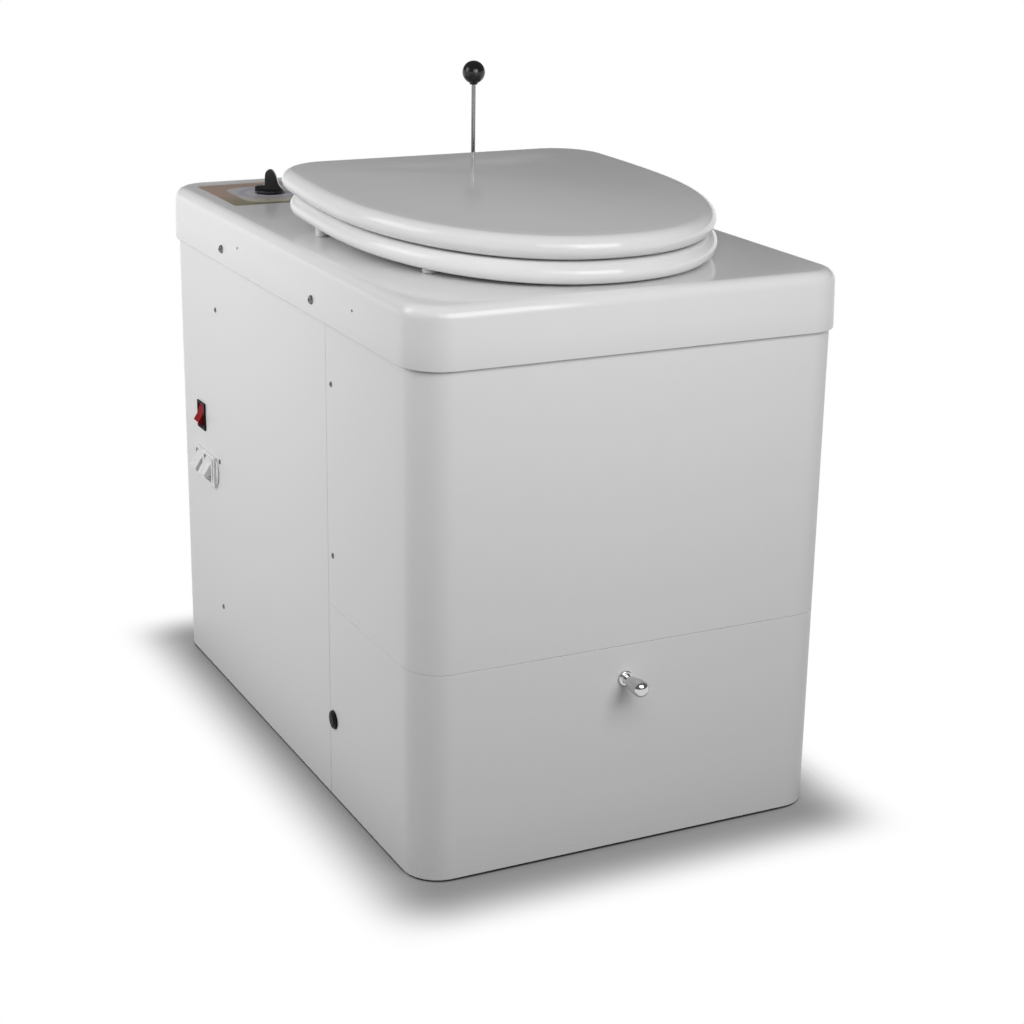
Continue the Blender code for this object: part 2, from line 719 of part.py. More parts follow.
def make_cover():
    """A moulded shell with a drafted skirt and a rounded top edge."""
    edge, wall = COVER_EDGE_RADIUS, COVER_WALL
    loops = []
    for i in range(EDGE_STEPS + 1):
        angle = math.pi / 2 * (1 - i / EDGE_STEPS)
        inset = COVER_DRAFT + edge * (1 - math.cos(angle))
        loops.append(cover_loop(inset, COVER_TOP - edge * (1 - math.sin(angle))))
    loops.append(cover_loop(0, COVER_SKIRT_BOTTOM))
    loops.append(cover_loop(wall, COVER_SKIRT_BOTTOM))
    inner = edge - wall
    for i in range(EDGE_STEPS + 1):
        angle = math.pi / 2 * i / EDGE_STEPS
        inset = wall + inner * (1 - math.cos(angle))
        loops.append(cover_loop(inset, COVER_UNDER - inner * (1 - math.sin(angle))))
    cover = stacked("top_cover", loops, gloss_white(), smooth=math.radians(30))
    low, high = COVER_UNDER - OVERRUN, COVER_TOP + OVERRUN
    carve(cover, prism("cutter", oval(APERTURE_HALF_WIDTH, APERTURE_HALF_DEPTH), low, high, gloss_white()))
    carve(cover, prism("cutter", slot_outline(0), low, high, gloss_white()))
    cut_round(cover, TIMER_BUSH_RADIUS + GAP, (TIMER_X, TIMER_Y, 0), "Z", low, high)
    recess = label_outline(GAP)
    carve(cover, prism("cutter", recess, COVER_TOP - LABEL_RECESS, high, gloss_white()))


def oval(half_width, half_depth, steps=OVAL_STEPS):
    """An oval round the bowl's centre."""
    angles = [math.tau * i / steps for i in range(steps)]
    return [(SEAT_OFFSET + half_width * math.cos(a), BOWL_Y + half_depth * math.sin(a)) for a in angles]


def slot_outline(border):
    """The lever's slot in the cover, from the rod at rest to the rod at full swing."""
    radius = LEVER_ROD_RADIUS + SLOT_CLEARANCE + border
    travel = (COVER_TOP + TRIM_THICKNESS - LEVER_PIVOT_HEIGHT) * math.tan(LEVER_RANGE)
    right = arc(LEVER_X + SLOT_CLEARANCE, LEVER_Y, radius, -90, 90, 8)
    return right + arc(LEVER_X - travel - SLOT_CLEARANCE, LEVER_Y, radius, 90, 270, 8)


def label_outline(border):
    left = -HALF_WIDTH + LABEL_SIDE_SPACE
    x0, x1 = left - border, left + LABEL_WIDTH + border
    y0, y1 = LABEL_FRONT_Y - border, LABEL_REAR_Y + border
    return rounded_rectangle(x0, y0, x1, y1, LABEL_CORNER, LABEL_CORNER, 4)


def lid_outline(inset, forward=0.0):
    """The seat's and lid's plan: a superellipse in front of the widest line, sides that draw in a little
    towards the rear, rounded rear corners and a straight rear edge."""
    widest = from_front(LID_WIDEST_SETBACK) - forward
    rear = from_front(LID_REAR_SETBACK)
    start = rear - LID_REAR_RADIUS
    half = []
    for i in range(FRONT_STEPS):
        angle = math.pi / 2 * (1 - i / FRONT_STEPS)
        x = LID_HALF_WIDTH * math.cos(angle) ** (2 / LID_FRONT_POWER)
        half.append((x, widest - LID_FRONT_DEPTH * math.sin(angle) ** (2 / LID_FRONT_POWER)))
    for i in range(SIDE_STEPS + 1):
        y = widest + (start - widest) * i / SIDE_STEPS
        half.append((side_width(y, widest, rear), y))
    last = half[-1][0]
    turn = arc(last - LID_REAR_RADIUS, start, LID_REAR_RADIUS, 0, 90, CORNER_STEPS)
    half += turn[1:]
    outline = half + [(-x, y) for x, y in reversed(half[1:])]
    return [(SEAT_OFFSET + x, y) for x, y in drawn_in(outline, inset)]


def side_width(y, widest, rear):
    share = (y - widest) / (rear - widest)
    return LID_HALF_WIDTH + (LID_REAR_HALF_WIDTH - LID_HALF_WIDTH) * share * share


def drawn_in(outline, inset):
    """Each point moved inwards along the outline's normal. The outline runs counter-clockwise."""
    moved = []
    count = len(outline)
    for i, (x, y) in enumerate(outline):
        before, after = outline[i - 1], outline[(i + 1) % count]
        dx, dy = after[0] - before[0], after[1] - before[1]
        length = math.hypot(dx, dy)
        moved.append((x - dy / length * inset, y + dx / length * inset))
    return moved


def tilted(outline, height):
    """Heights of a tilted plate: the given height at the casing's front face, rising to the rear."""
    return [(x, y, height + TILT * (y - FRONT_Y)) for x, y in outline]


def rim_loops(bottom, thickness, inset, forward):
    """Loops round a half-oval rim, from the bottom face up to the top face."""
    loops = []
    for i in range(2 * RIM_STEPS + 1):
        angle = math.pi / 2 * (i / RIM_STEPS - 1)
        depth = inset + LID_RIM_DEPTH * (1 - math.cos(angle))
        loops.append(tilted(lid_outline(depth, forward), bottom + thickness / 2 * (1 + math.sin(angle))))
    return loops


def make_seat():
    """Seat ring, lid and the buffers under the seat."""
    seat_bottom = COVER_TOP + SEAT_FRONT_LIFT
    loops = rim_loops(seat_bottom, SEAT_THICKNESS, SEAT_INSET, SEAT_FORWARD)
    centre = (SEAT_OFFSET, BOWL_Y)
    for i in range(2 * RIM_STEPS + 1):
        angle = math.pi / 2 * (1 - i / RIM_STEPS)
        grow = SEAT_HOLE_INNER_RADIUS * (1 - math.cos(angle))
        hole = []
        for x, y, _ in loops[0]:
            turn = math.atan2((y - centre[1]) / APERTURE_HALF_DEPTH, (x - centre[0]) / APERTURE_HALF_WIDTH)
            hole.append((centre[0] + (APERTURE_HALF_WIDTH * RING_HOLE_SHARE + grow) * math.cos(turn),
                         centre[1] + (APERTURE_HALF_DEPTH * RING_HOLE_SHARE + grow) * math.sin(turn)))
        loops.append(tilted(hole, seat_bottom + SEAT_THICKNESS / 2 * (1 + math.sin(angle))))
    stacked("seat_ring", loops, gloss_white(), ring=True, smooth=math.radians(40))
    lid_bottom = seat_bottom + SEAT_THICKNESS + LID_SEAT_GAP
    stacked("seat_lid", rim_loops(lid_bottom, LID_THICKNESS, 0, 0), gloss_white(), smooth=math.radians(40))
    places = ((BUFFER_FRONT_HALF_SPACING, BUFFER_FRONT_SETBACK, "front"),
              (BUFFER_REAR_HALF_SPACING, BUFFER_REAR_SETBACK, "rear"))
    for spacing, setback, end in places:
        for sign, side in ((-1, "left"), (1, "right")):
            top = seat_bottom + TILT * (setback - BUFFER_RADIUS) - GAP - COVER_TOP
            profile = [(0, GAP), (BUFFER_RADIUS * BUFFER_WAIST_SHARE, GAP), (BUFFER_RADIUS, top), (0, top)]
            spot = (SEAT_OFFSET + sign * spacing, from_front(setback), COVER_TOP)
            turned(f"seat_buffer_{end}_{side}", profile, spot, "Z", rubber(), 16, math.radians(40))


def make_hinges():
    """Two hinges: a post with its pin on the cover, an arm to the lid and an arm to the seat."""
    for sign, side in ((-1, "left"), (1, "right")):
        x = SEAT_OFFSET + sign * HINGE_HALF_SPACING
        half = HINGE_KNUCKLE_WIDTH / 2
        centre = (x, HINGE_Y, HINGE_HEIGHT)
        base = COVER_TOP + GAP - HINGE_HEIGHT
        flange = base + HINGE_FLANGE_THICKNESS
        profile = [(0, base), (HINGE_FLANGE_RADIUS, base), (HINGE_FLANGE_RADIUS, flange),
                   (HINGE_STEM_RADIUS, flange + HINGE_FLANGE_THICKNESS), (HINGE_STEM_RADIUS, 0), (0, 0)]
        post = turned(f"hinge_post_{side}", profile, centre, "Z", chrome(), 20, math.radians(35))
        join_round(post, HINGE_KNUCKLE_RADIUS, centre, "X", -half, half, 20)
        reach = half + SLIDE_GAP + HINGE_KNUCKLE_WIDTH
        join_round(post, HINGE_PIN_RADIUS, centre, "X", -reach, reach, 16)
        inner = x - sign * (half + SLIDE_GAP + HINGE_KNUCKLE_WIDTH / 2)
        outer = x + sign * (half + SLIDE_GAP + HINGE_KNUCKLE_WIDTH / 2)
        hinge_arm(f"lid_arm_{side}", inner, lid_middle(), LID_ARM_HALF_HEIGHT, 0)
        hinge_arm(f"seat_arm_{side}", outer, seat_middle(), SEAT_ARM_HALF_HEIGHT, SEAT_INSET)


def seat_middle():
    return COVER_TOP + SEAT_FRONT_LIFT + SEAT_THICKNESS / 2 + TILT * LID_REAR_SETBACK


def lid_middle():
    return seat_middle() + SEAT_THICKNESS / 2 + LID_SEAT_GAP + LID_THICKNESS / 2


def hinge_arm(name, x, height, half_height, inset):
    """A knuckle on the pin with a foot that bolts to the rear edge of the lid or the seat."""
    half = HINGE_KNUCKLE_WIDTH / 2
    centre = (x, HINGE_Y, HINGE_HEIGHT)
    profile = [(0, -half), (HINGE_KNUCKLE_RADIUS, -half), (HINGE_KNUCKLE_RADIUS, half), (0, half)]
    arm = turned(name, profile, centre, "X", chrome(), 20, math.radians(35))
    rear_edge = from_front(LID_REAR_SETBACK) + SLIDE_GAP
    low, high = height - half_height, height + half_height
    join_box(arm, (x - half, rear_edge - inset, low), (x + half, rear_edge + HINGE_ARM_THICKNESS, high))
    low, high = min(low, HINGE_HEIGHT), max(high, HINGE_HEIGHT)
    join_box(arm, (x - half, rear_edge, low), (x + half, rear_edge + HINGE_ARM_THICKNESS, high))
    bore = HINGE_PIN_RADIUS + HINGE_PIN_CLEARANCE
    return cut_round(arm, bore, centre, "X", -half - OVERRUN, half + OVERRUN, 16)


def bowl_loop(half_width, half_depth, height):
    return [(x, y, height) for x, y in oval(half_width, half_depth)]


def bowl_shape(share, offset):
    """The bowl's half width, half depth and height at a share of the way down, offset outwards."""
    swell = math.cos(share * math.pi / 2) ** BOWL_SWELL
    width = BOWL_OUTLET_RADIUS + (APERTURE_HALF_WIDTH - BOWL_OUTLET_RADIUS) * swell
    depth = BOWL_OUTLET_RADIUS + (APERTURE_HALF_DEPTH - BOWL_OUTLET_RADIUS) * swell
    top = COVER_REST - BOWL_WALL
    bottom = BOWL_OUTLET_BOTTOM + BOWL_NECK_HEIGHT
    return width + offset, depth + offset, top + (bottom - top) * math.sin(share * math.pi / 2)


def make_bowl():
    """A pressed stainless funnel hung by its flange under the cover."""
    shares = (0, 0.25, 0.5, 0.75, 0.92, 1)
    top = COVER_REST
    width, depth = APERTURE_HALF_WIDTH + BOWL_FLANGE_WIDTH, APERTURE_HALF_DEPTH + BOWL_FLANGE_WIDTH
    loops = [bowl_loop(APERTURE_HALF_WIDTH, APERTURE_HALF_DEPTH, top)]
    loops += [bowl_loop(*bowl_shape(share, 0)) for share in shares[1:]]
    outlet = BOWL_OUTLET_RADIUS
    loops.append(bowl_loop(outlet, outlet, BOWL_OUTLET_BOTTOM))
    loops.append(bowl_loop(outlet + BOWL_WALL, outlet + BOWL_WALL, BOWL_OUTLET_BOTTOM))
    loops += [bowl_loop(*bowl_shape(share, BOWL_WALL)) for share in reversed(shares)]
    loops.append(bowl_loop(width, depth, top - BOWL_WALL))
    loops.append(bowl_loop(width, depth, top))
    stacked("bowl", loops, stainless(), ring=True, smooth=math.radians(35))


def make_throat():
    """The square duct that joins the bowl's outlet to the chamber and holds the flap's shaft."""
    t = THROAT_WALL
    x0, x1 = SEAT_OFFSET + THROAT_LEFT - t, THROAT_RIGHT + t
    y0, y1 = BOWL_Y - THROAT_HALF_DEPTH - t, BOWL_Y + THROAT_HALF_DEPTH + t
    low = CHAMBER_TOP + GAP
    throat = box("throat", (x0, y0, low), (x1, y1, THROAT_TOP), heat_steel())
    cut_box(throat, (x0 + t, y0 + t, low - OVERRUN), (x1 - t, y1 - t, THROAT_TOP - t))
    centre = (SEAT_OFFSET, BOWL_Y, THROAT_TOP)
    cut_round(throat, BOWL_OUTLET_RADIUS + BOWL_WALL + GAP, centre, "Z", -t - OVERRUN, OVERRUN, OVAL_STEPS)
    bearing = SHAFT_RADIUS + BEARING_CLEARANCE
    cut_round(throat, bearing, (SHAFT_X, 0, SHAFT_Z), "Y", y0 - OVERRUN, y1 + OVERRUN, 16)


def make_flap():
    """The trap flap, and its shaft with the crank and its stud."""
    top = BOWL_OUTLET_BOTTOM - SLIDE_GAP
    half = BOWL_OUTLET_RADIUS + FLAP_OVERLAP
    box("trap_flap", (SEAT_OFFSET - half, BOWL_Y - half, top - FLAP_THICKNESS),
        (SHAFT_X + FLAP_TAIL, BOWL_Y + half, top), stainless())
    front, rear = from_front(SHAFT_FRONT_SETBACK), from_front(BRACKET_SETBACK) + BRACKET_SHEET + STUD_OVERRUN
    profile = [(0, front), (SHAFT_RADIUS, front), (SHAFT_RADIUS, rear), (0, rear)]
    shaft = turned("flap_shaft", profile, (SHAFT_X, 0, SHAFT_Z), "Y", stainless(), 16, math.radians(35))
    y1 = from_front(LINK_SETBACK) - STUD_OVERRUN
    y0 = y1 - ARM_THICKNESS
    carve(shaft, crank_arm(SHAFT_X, SHAFT_Z, CRANK_REACH, CRANK_DOWN, y0, y1), "UNION")
    end = crank_end(SHAFT_X, SHAFT_Z, CRANK_REACH, CRANK_DOWN)
    stud_end = from_front(LINK_SETBACK) + LINK_THICKNESS + STUD_OVERRUN
    join_round(shaft, STUD_RADIUS, (end[0], 0, end[1]), "Y", y1 - SHEET, stud_end, 12)


def crank_end(x, z, reach, down):
    return x + reach * math.cos(down), z - reach * math.sin(down)


def crank_arm(x, z, reach, down, y0, y1):
    """A bar with round ends from a pivot to the end of its crank."""
    end = crank_end(x, z, reach, down)
    slope = -math.degrees(down)
    outline = arc(x, z, ARM_HALF_HEIGHT, slope + 90, slope + 270, 6)
    outline += arc(end[0], end[1], ARM_HALF_HEIGHT, slope - 90, slope + 90, 6)
    return prism("adder", outline, y0, y1, stainless(), "Y")


def make_lever():
    """Hub with its arm, rod, ball, pivot pin, bracket and link bar, and the trim round the slot."""
    centre = (LEVER_X, LEVER_Y, LEVER_PIVOT_HEIGHT)
    half = HUB_WIDTH / 2
    profile = [(0, -half), (HUB_RADIUS, -half), (HUB_RADIUS, half), (0, half)]
    hub = turned("lever_hub", profile, centre, "Y", zinc_sheet(), 20, math.radians(35))
    y0 = LEVER_Y - half
    carve(hub, crank_arm(LEVER_X, LEVER_PIVOT_HEIGHT, ARM_REACH, ARM_DOWN, y0, y0 + ARM_THICKNESS), "UNION")
    end = crank_end(LEVER_X, LEVER_PIVOT_HEIGHT, ARM_REACH, ARM_DOWN)
    stud_end = from_front(LINK_SETBACK) + LINK_THICKNESS + STUD_OVERRUN
    join_round(hub, STUD_RADIUS, (end[0], 0, end[1]), "Y", y0 + ARM_THICKNESS / 2, stud_end, 12)
    bore = PIVOT_PIN_RADIUS + HUB_BORE_CLEARANCE
    cut_round(hub, bore, centre, "Y", -half - OVERRUN, half + OVERRUN, 16)
    top = BALL_HEIGHT - BALL_RADIUS
    low = LEVER_PIVOT_HEIGHT + HUB_RADIUS + GAP
    rod = [(0, low), (LEVER_ROD_RADIUS, low), (LEVER_ROD_RADIUS, top), (0, top)]
    turned("lever_rod", rod, (LEVER_X, LEVER_Y, 0), "Z", chrome(), 14, math.radians(35))
    make_ball()
    rear = from_front(BRACKET_SETBACK) + BRACKET_SHEET + STUD_OVERRUN
    front = LEVER_Y - half - STUD_OVERRUN
    pin = [(0, front), (PIVOT_PIN_RADIUS, front), (PIVOT_PIN_RADIUS, rear), (0, rear)]
    turned("lever_pivot_pin", pin, (LEVER_X, 0, LEVER_PIVOT_HEIGHT), "Y", stainless(), 16, math.radians(35))
    make_bracket()
    make_link(end)
    trim = prism("lever_slot_trim", slot_outline(TRIM_BORDER), COVER_TOP + GAP, COVER_TOP + TRIM_THICKNESS,
                 black_plastic(), smooth=math.radians(35))
    carve(trim, prism("cutter", slot_outline(0), COVER_TOP - OVERRUN, COVER_TOP + OVERRUN, black_plastic()))


def make_ball():
    """The ball knob, flat where its short neck meets the rod, bored for the rod."""
    bottom = math.acos(BALL_NECK_RADIUS / BALL_RADIUS)
    steps = 10
    ball = []
    for i in range(steps + 1):
        angle = -bottom + (bottom + math.pi / 2) * i / steps
        ball.append((BALL_RADIUS * math.cos(angle), BALL_RADIUS * math.sin(angle)))
    ball[-1] = (0, BALL_RADIUS)
    neck = -BALL_RADIUS * math.sin(bottom) - BALL_NECK_LENGTH / 2
    bore = LEVER_ROD_RADIUS + GAP
    rod_end = -BALL_RADIUS + GAP
    profile = [(0, rod_end), (bore, rod_end), (bore, neck), (BALL_NECK_RADIUS, neck)] + ball
    turned("lever_ball", profile, (LEVER_X, LEVER_Y, BALL_HEIGHT), "Z", black_plastic(), 24, math.radians(40))


def make_bracket():
    """A hanging plate behind the lever that carries its pin and the rear end of the flap's shaft."""
    y0 = from_front(BRACKET_SETBACK)
    y1 = y0 + BRACKET_SHEET
    low, high = (BRACKET_LEFT, y0, BRACKET_BOTTOM), (BRACKET_RIGHT, y1, COVER_REST)
    bracket = box("lever_bracket", low, high, zinc_sheet())
    join_box(bracket, (BRACKET_LEFT, y1 - BRACKET_SHEET, COVER_REST - BRACKET_SHEET),
             (BRACKET_RIGHT, y1 + BRACKET_FLANGE, COVER_REST))
    bearing = SHAFT_RADIUS + BEARING_CLEARANCE
    cut_round(bracket, bearing, (SHAFT_X, 0, SHAFT_Z), "Y", y0 - OVERRUN, y1 + OVERRUN, 16)
    pin = (LEVER_X, 0, LEVER_PIVOT_HEIGHT)
    cut_round(bracket, PIVOT_PIN_RADIUS + GAP, pin, "Y", y0 - OVERRUN, y1 + OVERRUN, 16)


def make_link(top_end):
    """The bar between the lever's arm and the flap's crank, with a slot for each stud."""
    low_end = crank_end(SHAFT_X, SHAFT_Z, CRANK_REACH, CRANK_DOWN)
    high_slot = STUD_RADIUS + STUD_CLEARANCE + ARM_REACH * (1 - math.cos(ARM_DOWN))
    low_slot = STUD_RADIUS + STUD_CLEARANCE + CRANK_REACH * (1 - math.cos(CRANK_DOWN)) / 2
    high_x = top_end[0] + ARM_REACH * (1 - math.cos(ARM_DOWN)) / 2
    low_x = low_end[0] + CRANK_REACH * (1 - math.cos(CRANK_DOWN)) / 2
    rise = STUD_RADIUS + STUD_CLEARANCE + LINK_WALL
    left, right = low_x - low_slot - LINK_WALL, low_x + low_slot + LINK_WALL
    top_left, top_right = high_x - high_slot - LINK_WALL, high_x + high_slot + LINK_WALL
    low, high = low_end[1], top_end[1]
    outline = [(left, low - rise), (right, low - rise), (right, low + rise), (top_right, high - 2 * rise),
               (top_right, high + rise), (top_left, high + rise), (top_left, high - 2 * rise),
               (left, low + rise)]
    y0 = from_front(LINK_SETBACK)
    y1 = y0 + LINK_THICKNESS
    link = prism("link_bar", outline, y0, y1, zinc_sheet(), "Y")
    radius = STUD_RADIUS + STUD_CLEARANCE
    for x, z, reach in ((high_x, top_end[1], high_slot), (low_x, low_end[1], low_slot)):
        slot = arc(x + reach - radius, z, radius, -90, 90, 6) + arc(x - reach + radius, z, radius, 90, 270, 6)
        carve(link, prism("cutter", slot, y0 - OVERRUN, y1 + OVERRUN, zinc_sheet(), "Y"))


def make_chamber():
    """Shelf, combustion chamber and insulation jacket."""
    half = POST_INNER - GAP
    shelf = box("chamber_shelf", (-half, from_front(SHELF_FRONT), SHELF_BOTTOM),
                (half, REAR_Y - SHELF_REAR_SPACE, SHELF_TOP), zinc_sheet())
    inner_x, inner_y = CHAMBER_HALF_WIDTH - CHAMBER_WALL, CHAMBER_HALF_DEPTH - CHAMBER_WALL
    cut_box(shelf, (-inner_x, BOWL_Y - inner_y, SHELF_BOTTOM - OVERRUN),
            (inner_x, BOWL_Y + inner_y, SHELF_TOP + OVERRUN))
    chamber = box("combustion_chamber", (-CHAMBER_HALF_WIDTH, BOWL_Y - CHAMBER_HALF_DEPTH, CHAMBER_BOTTOM),
                  (CHAMBER_HALF_WIDTH, BOWL_Y + CHAMBER_HALF_DEPTH, CHAMBER_TOP), heat_steel())
    cut_box(chamber, (-inner_x, BOWL_Y - inner_y, CHAMBER_BOTTOM - OVERRUN),
            (inner_x, BOWL_Y + inner_y, CHAMBER_TOP - CHAMBER_WALL))
    x0, x1 = SEAT_OFFSET + THROAT_LEFT, THROAT_RIGHT
    y0, y1 = BOWL_Y - THROAT_HALF_DEPTH, BOWL_Y + THROAT_HALF_DEPTH
    cut_box(chamber, (x0, y0, CHAMBER_TOP - CHAMBER_WALL - OVERRUN), (x1, y1, CHAMBER_TOP + OVERRUN))
    rear = BOWL_Y + CHAMBER_HALF_DEPTH
    cut_box(chamber, (DUCT_LEFT + DUCT_WALL, rear - CHAMBER_WALL - OVERRUN, DUCT_BOTTOM + DUCT_WALL),
            (-FAN_HALF_WIDTH - GAP - DUCT_WALL, rear + OVERRUN, DUCT_TOP - DUCT_WALL))
    outer_x, outer_y = CHAMBER_HALF_WIDTH + GAP + JACKET_WALL, CHAMBER_HALF_DEPTH + GAP + JACKET_WALL
    jacket = box("insulation_jacket", (-outer_x, BOWL_Y - outer_y, CHAMBER_BOTTOM),
                 (outer_x, BOWL_Y + outer_y, CHAMBER_TOP + JACKET_WALL), fibre_board())
    cut_box(jacket, (-CHAMBER_HALF_WIDTH - GAP, BOWL_Y - CHAMBER_HALF_DEPTH - GAP, CHAMBER_BOTTOM - OVERRUN),
            (CHAMBER_HALF_WIDTH + GAP, BOWL_Y + CHAMBER_HALF_DEPTH + GAP, CHAMBER_TOP + GAP))
    margin = THROAT_WALL + GAP
    cut_box(jacket, (x0 - margin, y0 - margin, CHAMBER_TOP - OVERRUN), (x1 + margin, y1 + margin, THROAT_TOP))
    outside = JACKET_WALL + OVERRUN
    cut_box(jacket, (DUCT_LEFT - GAP, rear, DUCT_BOTTOM - GAP),
            (-FAN_HALF_WIDTH, rear + outside, DUCT_TOP + GAP))
    for piece in (chamber, jacket):
        for x in element_exits():
            cut_round(piece, ELEMENT_RADIUS + GAP, (x, rear, ELEMENT_HIGH), "Y", -OVERRUN, outside, 12)
        cut_round(piece, THERMO_RADIUS + GAP, (THERMO_X, rear, THERMO_HEIGHT), "Y", -OVERRUN, outside, 12)


def element_exits():
    return ELEMENT_TERMINAL_X, ELEMENT_TERMINAL_X + ELEMENT_TERMINAL_SPACING


def make_element():
    """The heating element: in through the rear wall, round three walls low and back round them high."""
    x = CHAMBER_HALF_WIDTH - CHAMBER_WALL - ELEMENT_WALL_SPACE
    y = CHAMBER_HALF_DEPTH - CHAMBER_WALL - ELEMENT_WALL_SPACE
    outside = BOWL_Y + CHAMBER_HALF_DEPTH + ELEMENT_TAIL
    near, far = element_exits()
    corners = [(far, outside, ELEMENT_HIGH), (far, BOWL_Y + y, ELEMENT_HIGH), (x, BOWL_Y + y, ELEMENT_HIGH),
               (x, BOWL_Y - y, ELEMENT_HIGH), (-x, BOWL_Y - y, ELEMENT_HIGH), (-x, BOWL_Y + y, ELEMENT_HIGH),
               (-x, BOWL_Y + y, ELEMENT_LOW), (-x, BOWL_Y - y, ELEMENT_LOW), (x, BOWL_Y - y, ELEMENT_LOW),
               (x, BOWL_Y + y, ELEMENT_LOW), (near, BOWL_Y + y, ELEMENT_LOW),
               (near, BOWL_Y + y, ELEMENT_HIGH), (near, outside, ELEMENT_HIGH)]
    swept("heating_element", filleted(corners, ELEMENT_BEND), ELEMENT_RADIUS, ELEMENT_SIDES, heat_steel())
    rear = BOWL_Y + CHAMBER_HALF_DEPTH
    outer = JACKET_WALL + GAP + GAP
    profile = [(0, -THERMO_DEPTH), (THERMO_RADIUS, -THERMO_DEPTH), (THERMO_RADIUS, outer),
               (THERMO_HEAD_RADIUS, outer), (THERMO_HEAD_RADIUS, outer + THERMO_HEAD_LENGTH),
               (0, outer + THERMO_HEAD_LENGTH)]
    turned("thermocouple", profile, (THERMO_X, rear, THERMO_HEIGHT), "Y", stainless(), 12, math.radians(35))


def filleted(corners, radius):
    """A route whose corners are replaced by short bends, each a quadratic curve between the two sides."""
    points = [corners[0]]
    for before, corner, after in zip(corners, corners[1:], corners[2:]):
        ends = []
        for other in (before, after):
            vector = [b - a for a, b in zip(corner, other)]
            length = math.sqrt(sum(c * c for c in vector))
            reach = min(radius, length / 2)
            ends.append([a + c / length * reach for a, c in zip(corner, vector)])
        for i in range(5):
            t = i / 4
            points.append(tuple((1 - t) ** 2 * a + 2 * t * (1 - t) * c + t * t * b
                                for a, c, b in zip(ends[0], corner, ends[1])))
    points.append(corners[-1])
    return [p for i, p in enumerate(points) if i == 0 or math.dist(p, points[i - 1]) > SHEET]


def volute(grow):
    """The fan housing's outline in Y and Z: a spiral that widens towards a square mouth at the rear."""
    low = FAN_OUTLET_LOW - grow
    start = math.asin((low - FAN_HEIGHT) / (FAN_START_RADIUS + grow))
    outline = []
    for i in range(FAN_STEPS + 1):
        share = i / FAN_STEPS
        angle = start - (start + math.radians(270)) * share
        radius = FAN_START_RADIUS + (FAN_END_RADIUS - FAN_START_RADIUS) * share + grow
        outline.append((FAN_Y + radius * math.cos(angle), FAN_HEIGHT + radius * math.sin(angle)))
    return outline + [(FAN_MOUTH_Y, FAN_HEIGHT + FAN_END_RADIUS + grow), (FAN_MOUTH_Y, low)]


def make_exhaust():
    """Duct from the chamber, fan housing, impeller, motor and flue collar."""
    x1 = -FAN_HALF_WIDTH - GAP
    y0, y1 = BOWL_Y + CHAMBER_HALF_DEPTH + GAP, FAN_Y + DUCT_PAST_FAN
    duct = box("exhaust_duct", (DUCT_LEFT, y0, DUCT_BOTTOM), (x1, y1, DUCT_TOP), heat_steel())
    t = DUCT_WALL
    cut_box(duct, (DUCT_LEFT + t, y0 - OVERRUN, DUCT_BOTTOM + t), (x1 - t, y1 - t, DUCT_TOP - t))
    inlet = (0, FAN_Y, FAN_HEIGHT)
    cut_round(duct, FAN_INLET_RADIUS, inlet, "X", x1 - t - OVERRUN, x1 + OVERRUN)
    outer, inner = volute(0), volute(-FAN_WALL)
    inner = [(y + OVERRUN, z) if y >= FAN_MOUTH_Y else (y, z) for y, z in inner]
    housing = prism("fan_housing", outer, -FAN_HALF_WIDTH, FAN_HALF_WIDTH, zinc_sheet(), "X")
    foot = FAN_FOOT_HALF_DEPTH
    join_box(housing, (-foot, FAN_Y - foot, SHELF_TOP + GAP), (foot, FAN_Y + foot, FAN_HEIGHT))
    wall = FAN_HALF_WIDTH - FAN_WALL
    carve(housing, prism("cutter", inner, -wall, wall, zinc_sheet(), "X"))
    cut_round(housing, FAN_INLET_RADIUS, inlet, "X", -FAN_HALF_WIDTH - OVERRUN, -wall + OVERRUN)
    hole = IMPELLER_SHAFT_RADIUS + SLIDE_GAP
    cut_round(housing, hole, inlet, "X", wall - OVERRUN, FAN_HALF_WIDTH + OVERRUN, 16)
    make_impeller()
    motor_x = FAN_HALF_WIDTH + GAP
    end = motor_x + MOTOR_LENGTH
    profile = [(0, motor_x + MOTOR_BORE_DEPTH), (hole, motor_x + MOTOR_BORE_DEPTH), (hole, motor_x),
               (MOTOR_RADIUS, motor_x), (MOTOR_RADIUS, end), (MOTOR_BOSS_RADIUS, end),
               (MOTOR_BOSS_RADIUS, end + MOTOR_BOSS_LENGTH), (0, end + MOTOR_BOSS_LENGTH)]
    turned("fan_motor", profile, inlet, "X", zinc_sheet(), 24, math.radians(35))
    make_flue()


def make_impeller():
    """A paddle wheel on a back plate and a shaft, turning about X."""
    hub, tip, half = IMPELLER_HUB_RADIUS, IMPELLER_RADIUS, IMPELLER_BLADE_THICKNESS / 2
    outline = []
    for i in range(IMPELLER_BLADES):
        angle = math.tau * i / IMPELLER_BLADES
        for along, across in ((hub, -half), (tip, -half), (tip, half), (hub, half)):
            outline.append((FAN_Y + along * math.cos(angle) - across * math.sin(angle),
                            FAN_HEIGHT + along * math.sin(angle) + across * math.cos(angle)))
    wheel = prism("fan_impeller", outline, -IMPELLER_HALF_WIDTH, IMPELLER_HALF_WIDTH, stainless(), "X")
    centre = (0, FAN_Y, FAN_HEIGHT)
    plate = IMPELLER_HALF_WIDTH + IMPELLER_PLATE / 2
    join_round(wheel, tip, centre, "X", plate - IMPELLER_PLATE, plate, 32)
    end = FAN_HALF_WIDTH + GAP + MOTOR_BORE_DEPTH - SLIDE_GAP
    join_round(wheel, IMPELLER_SHAFT_RADIUS, centre, "X", 0, end, 16)


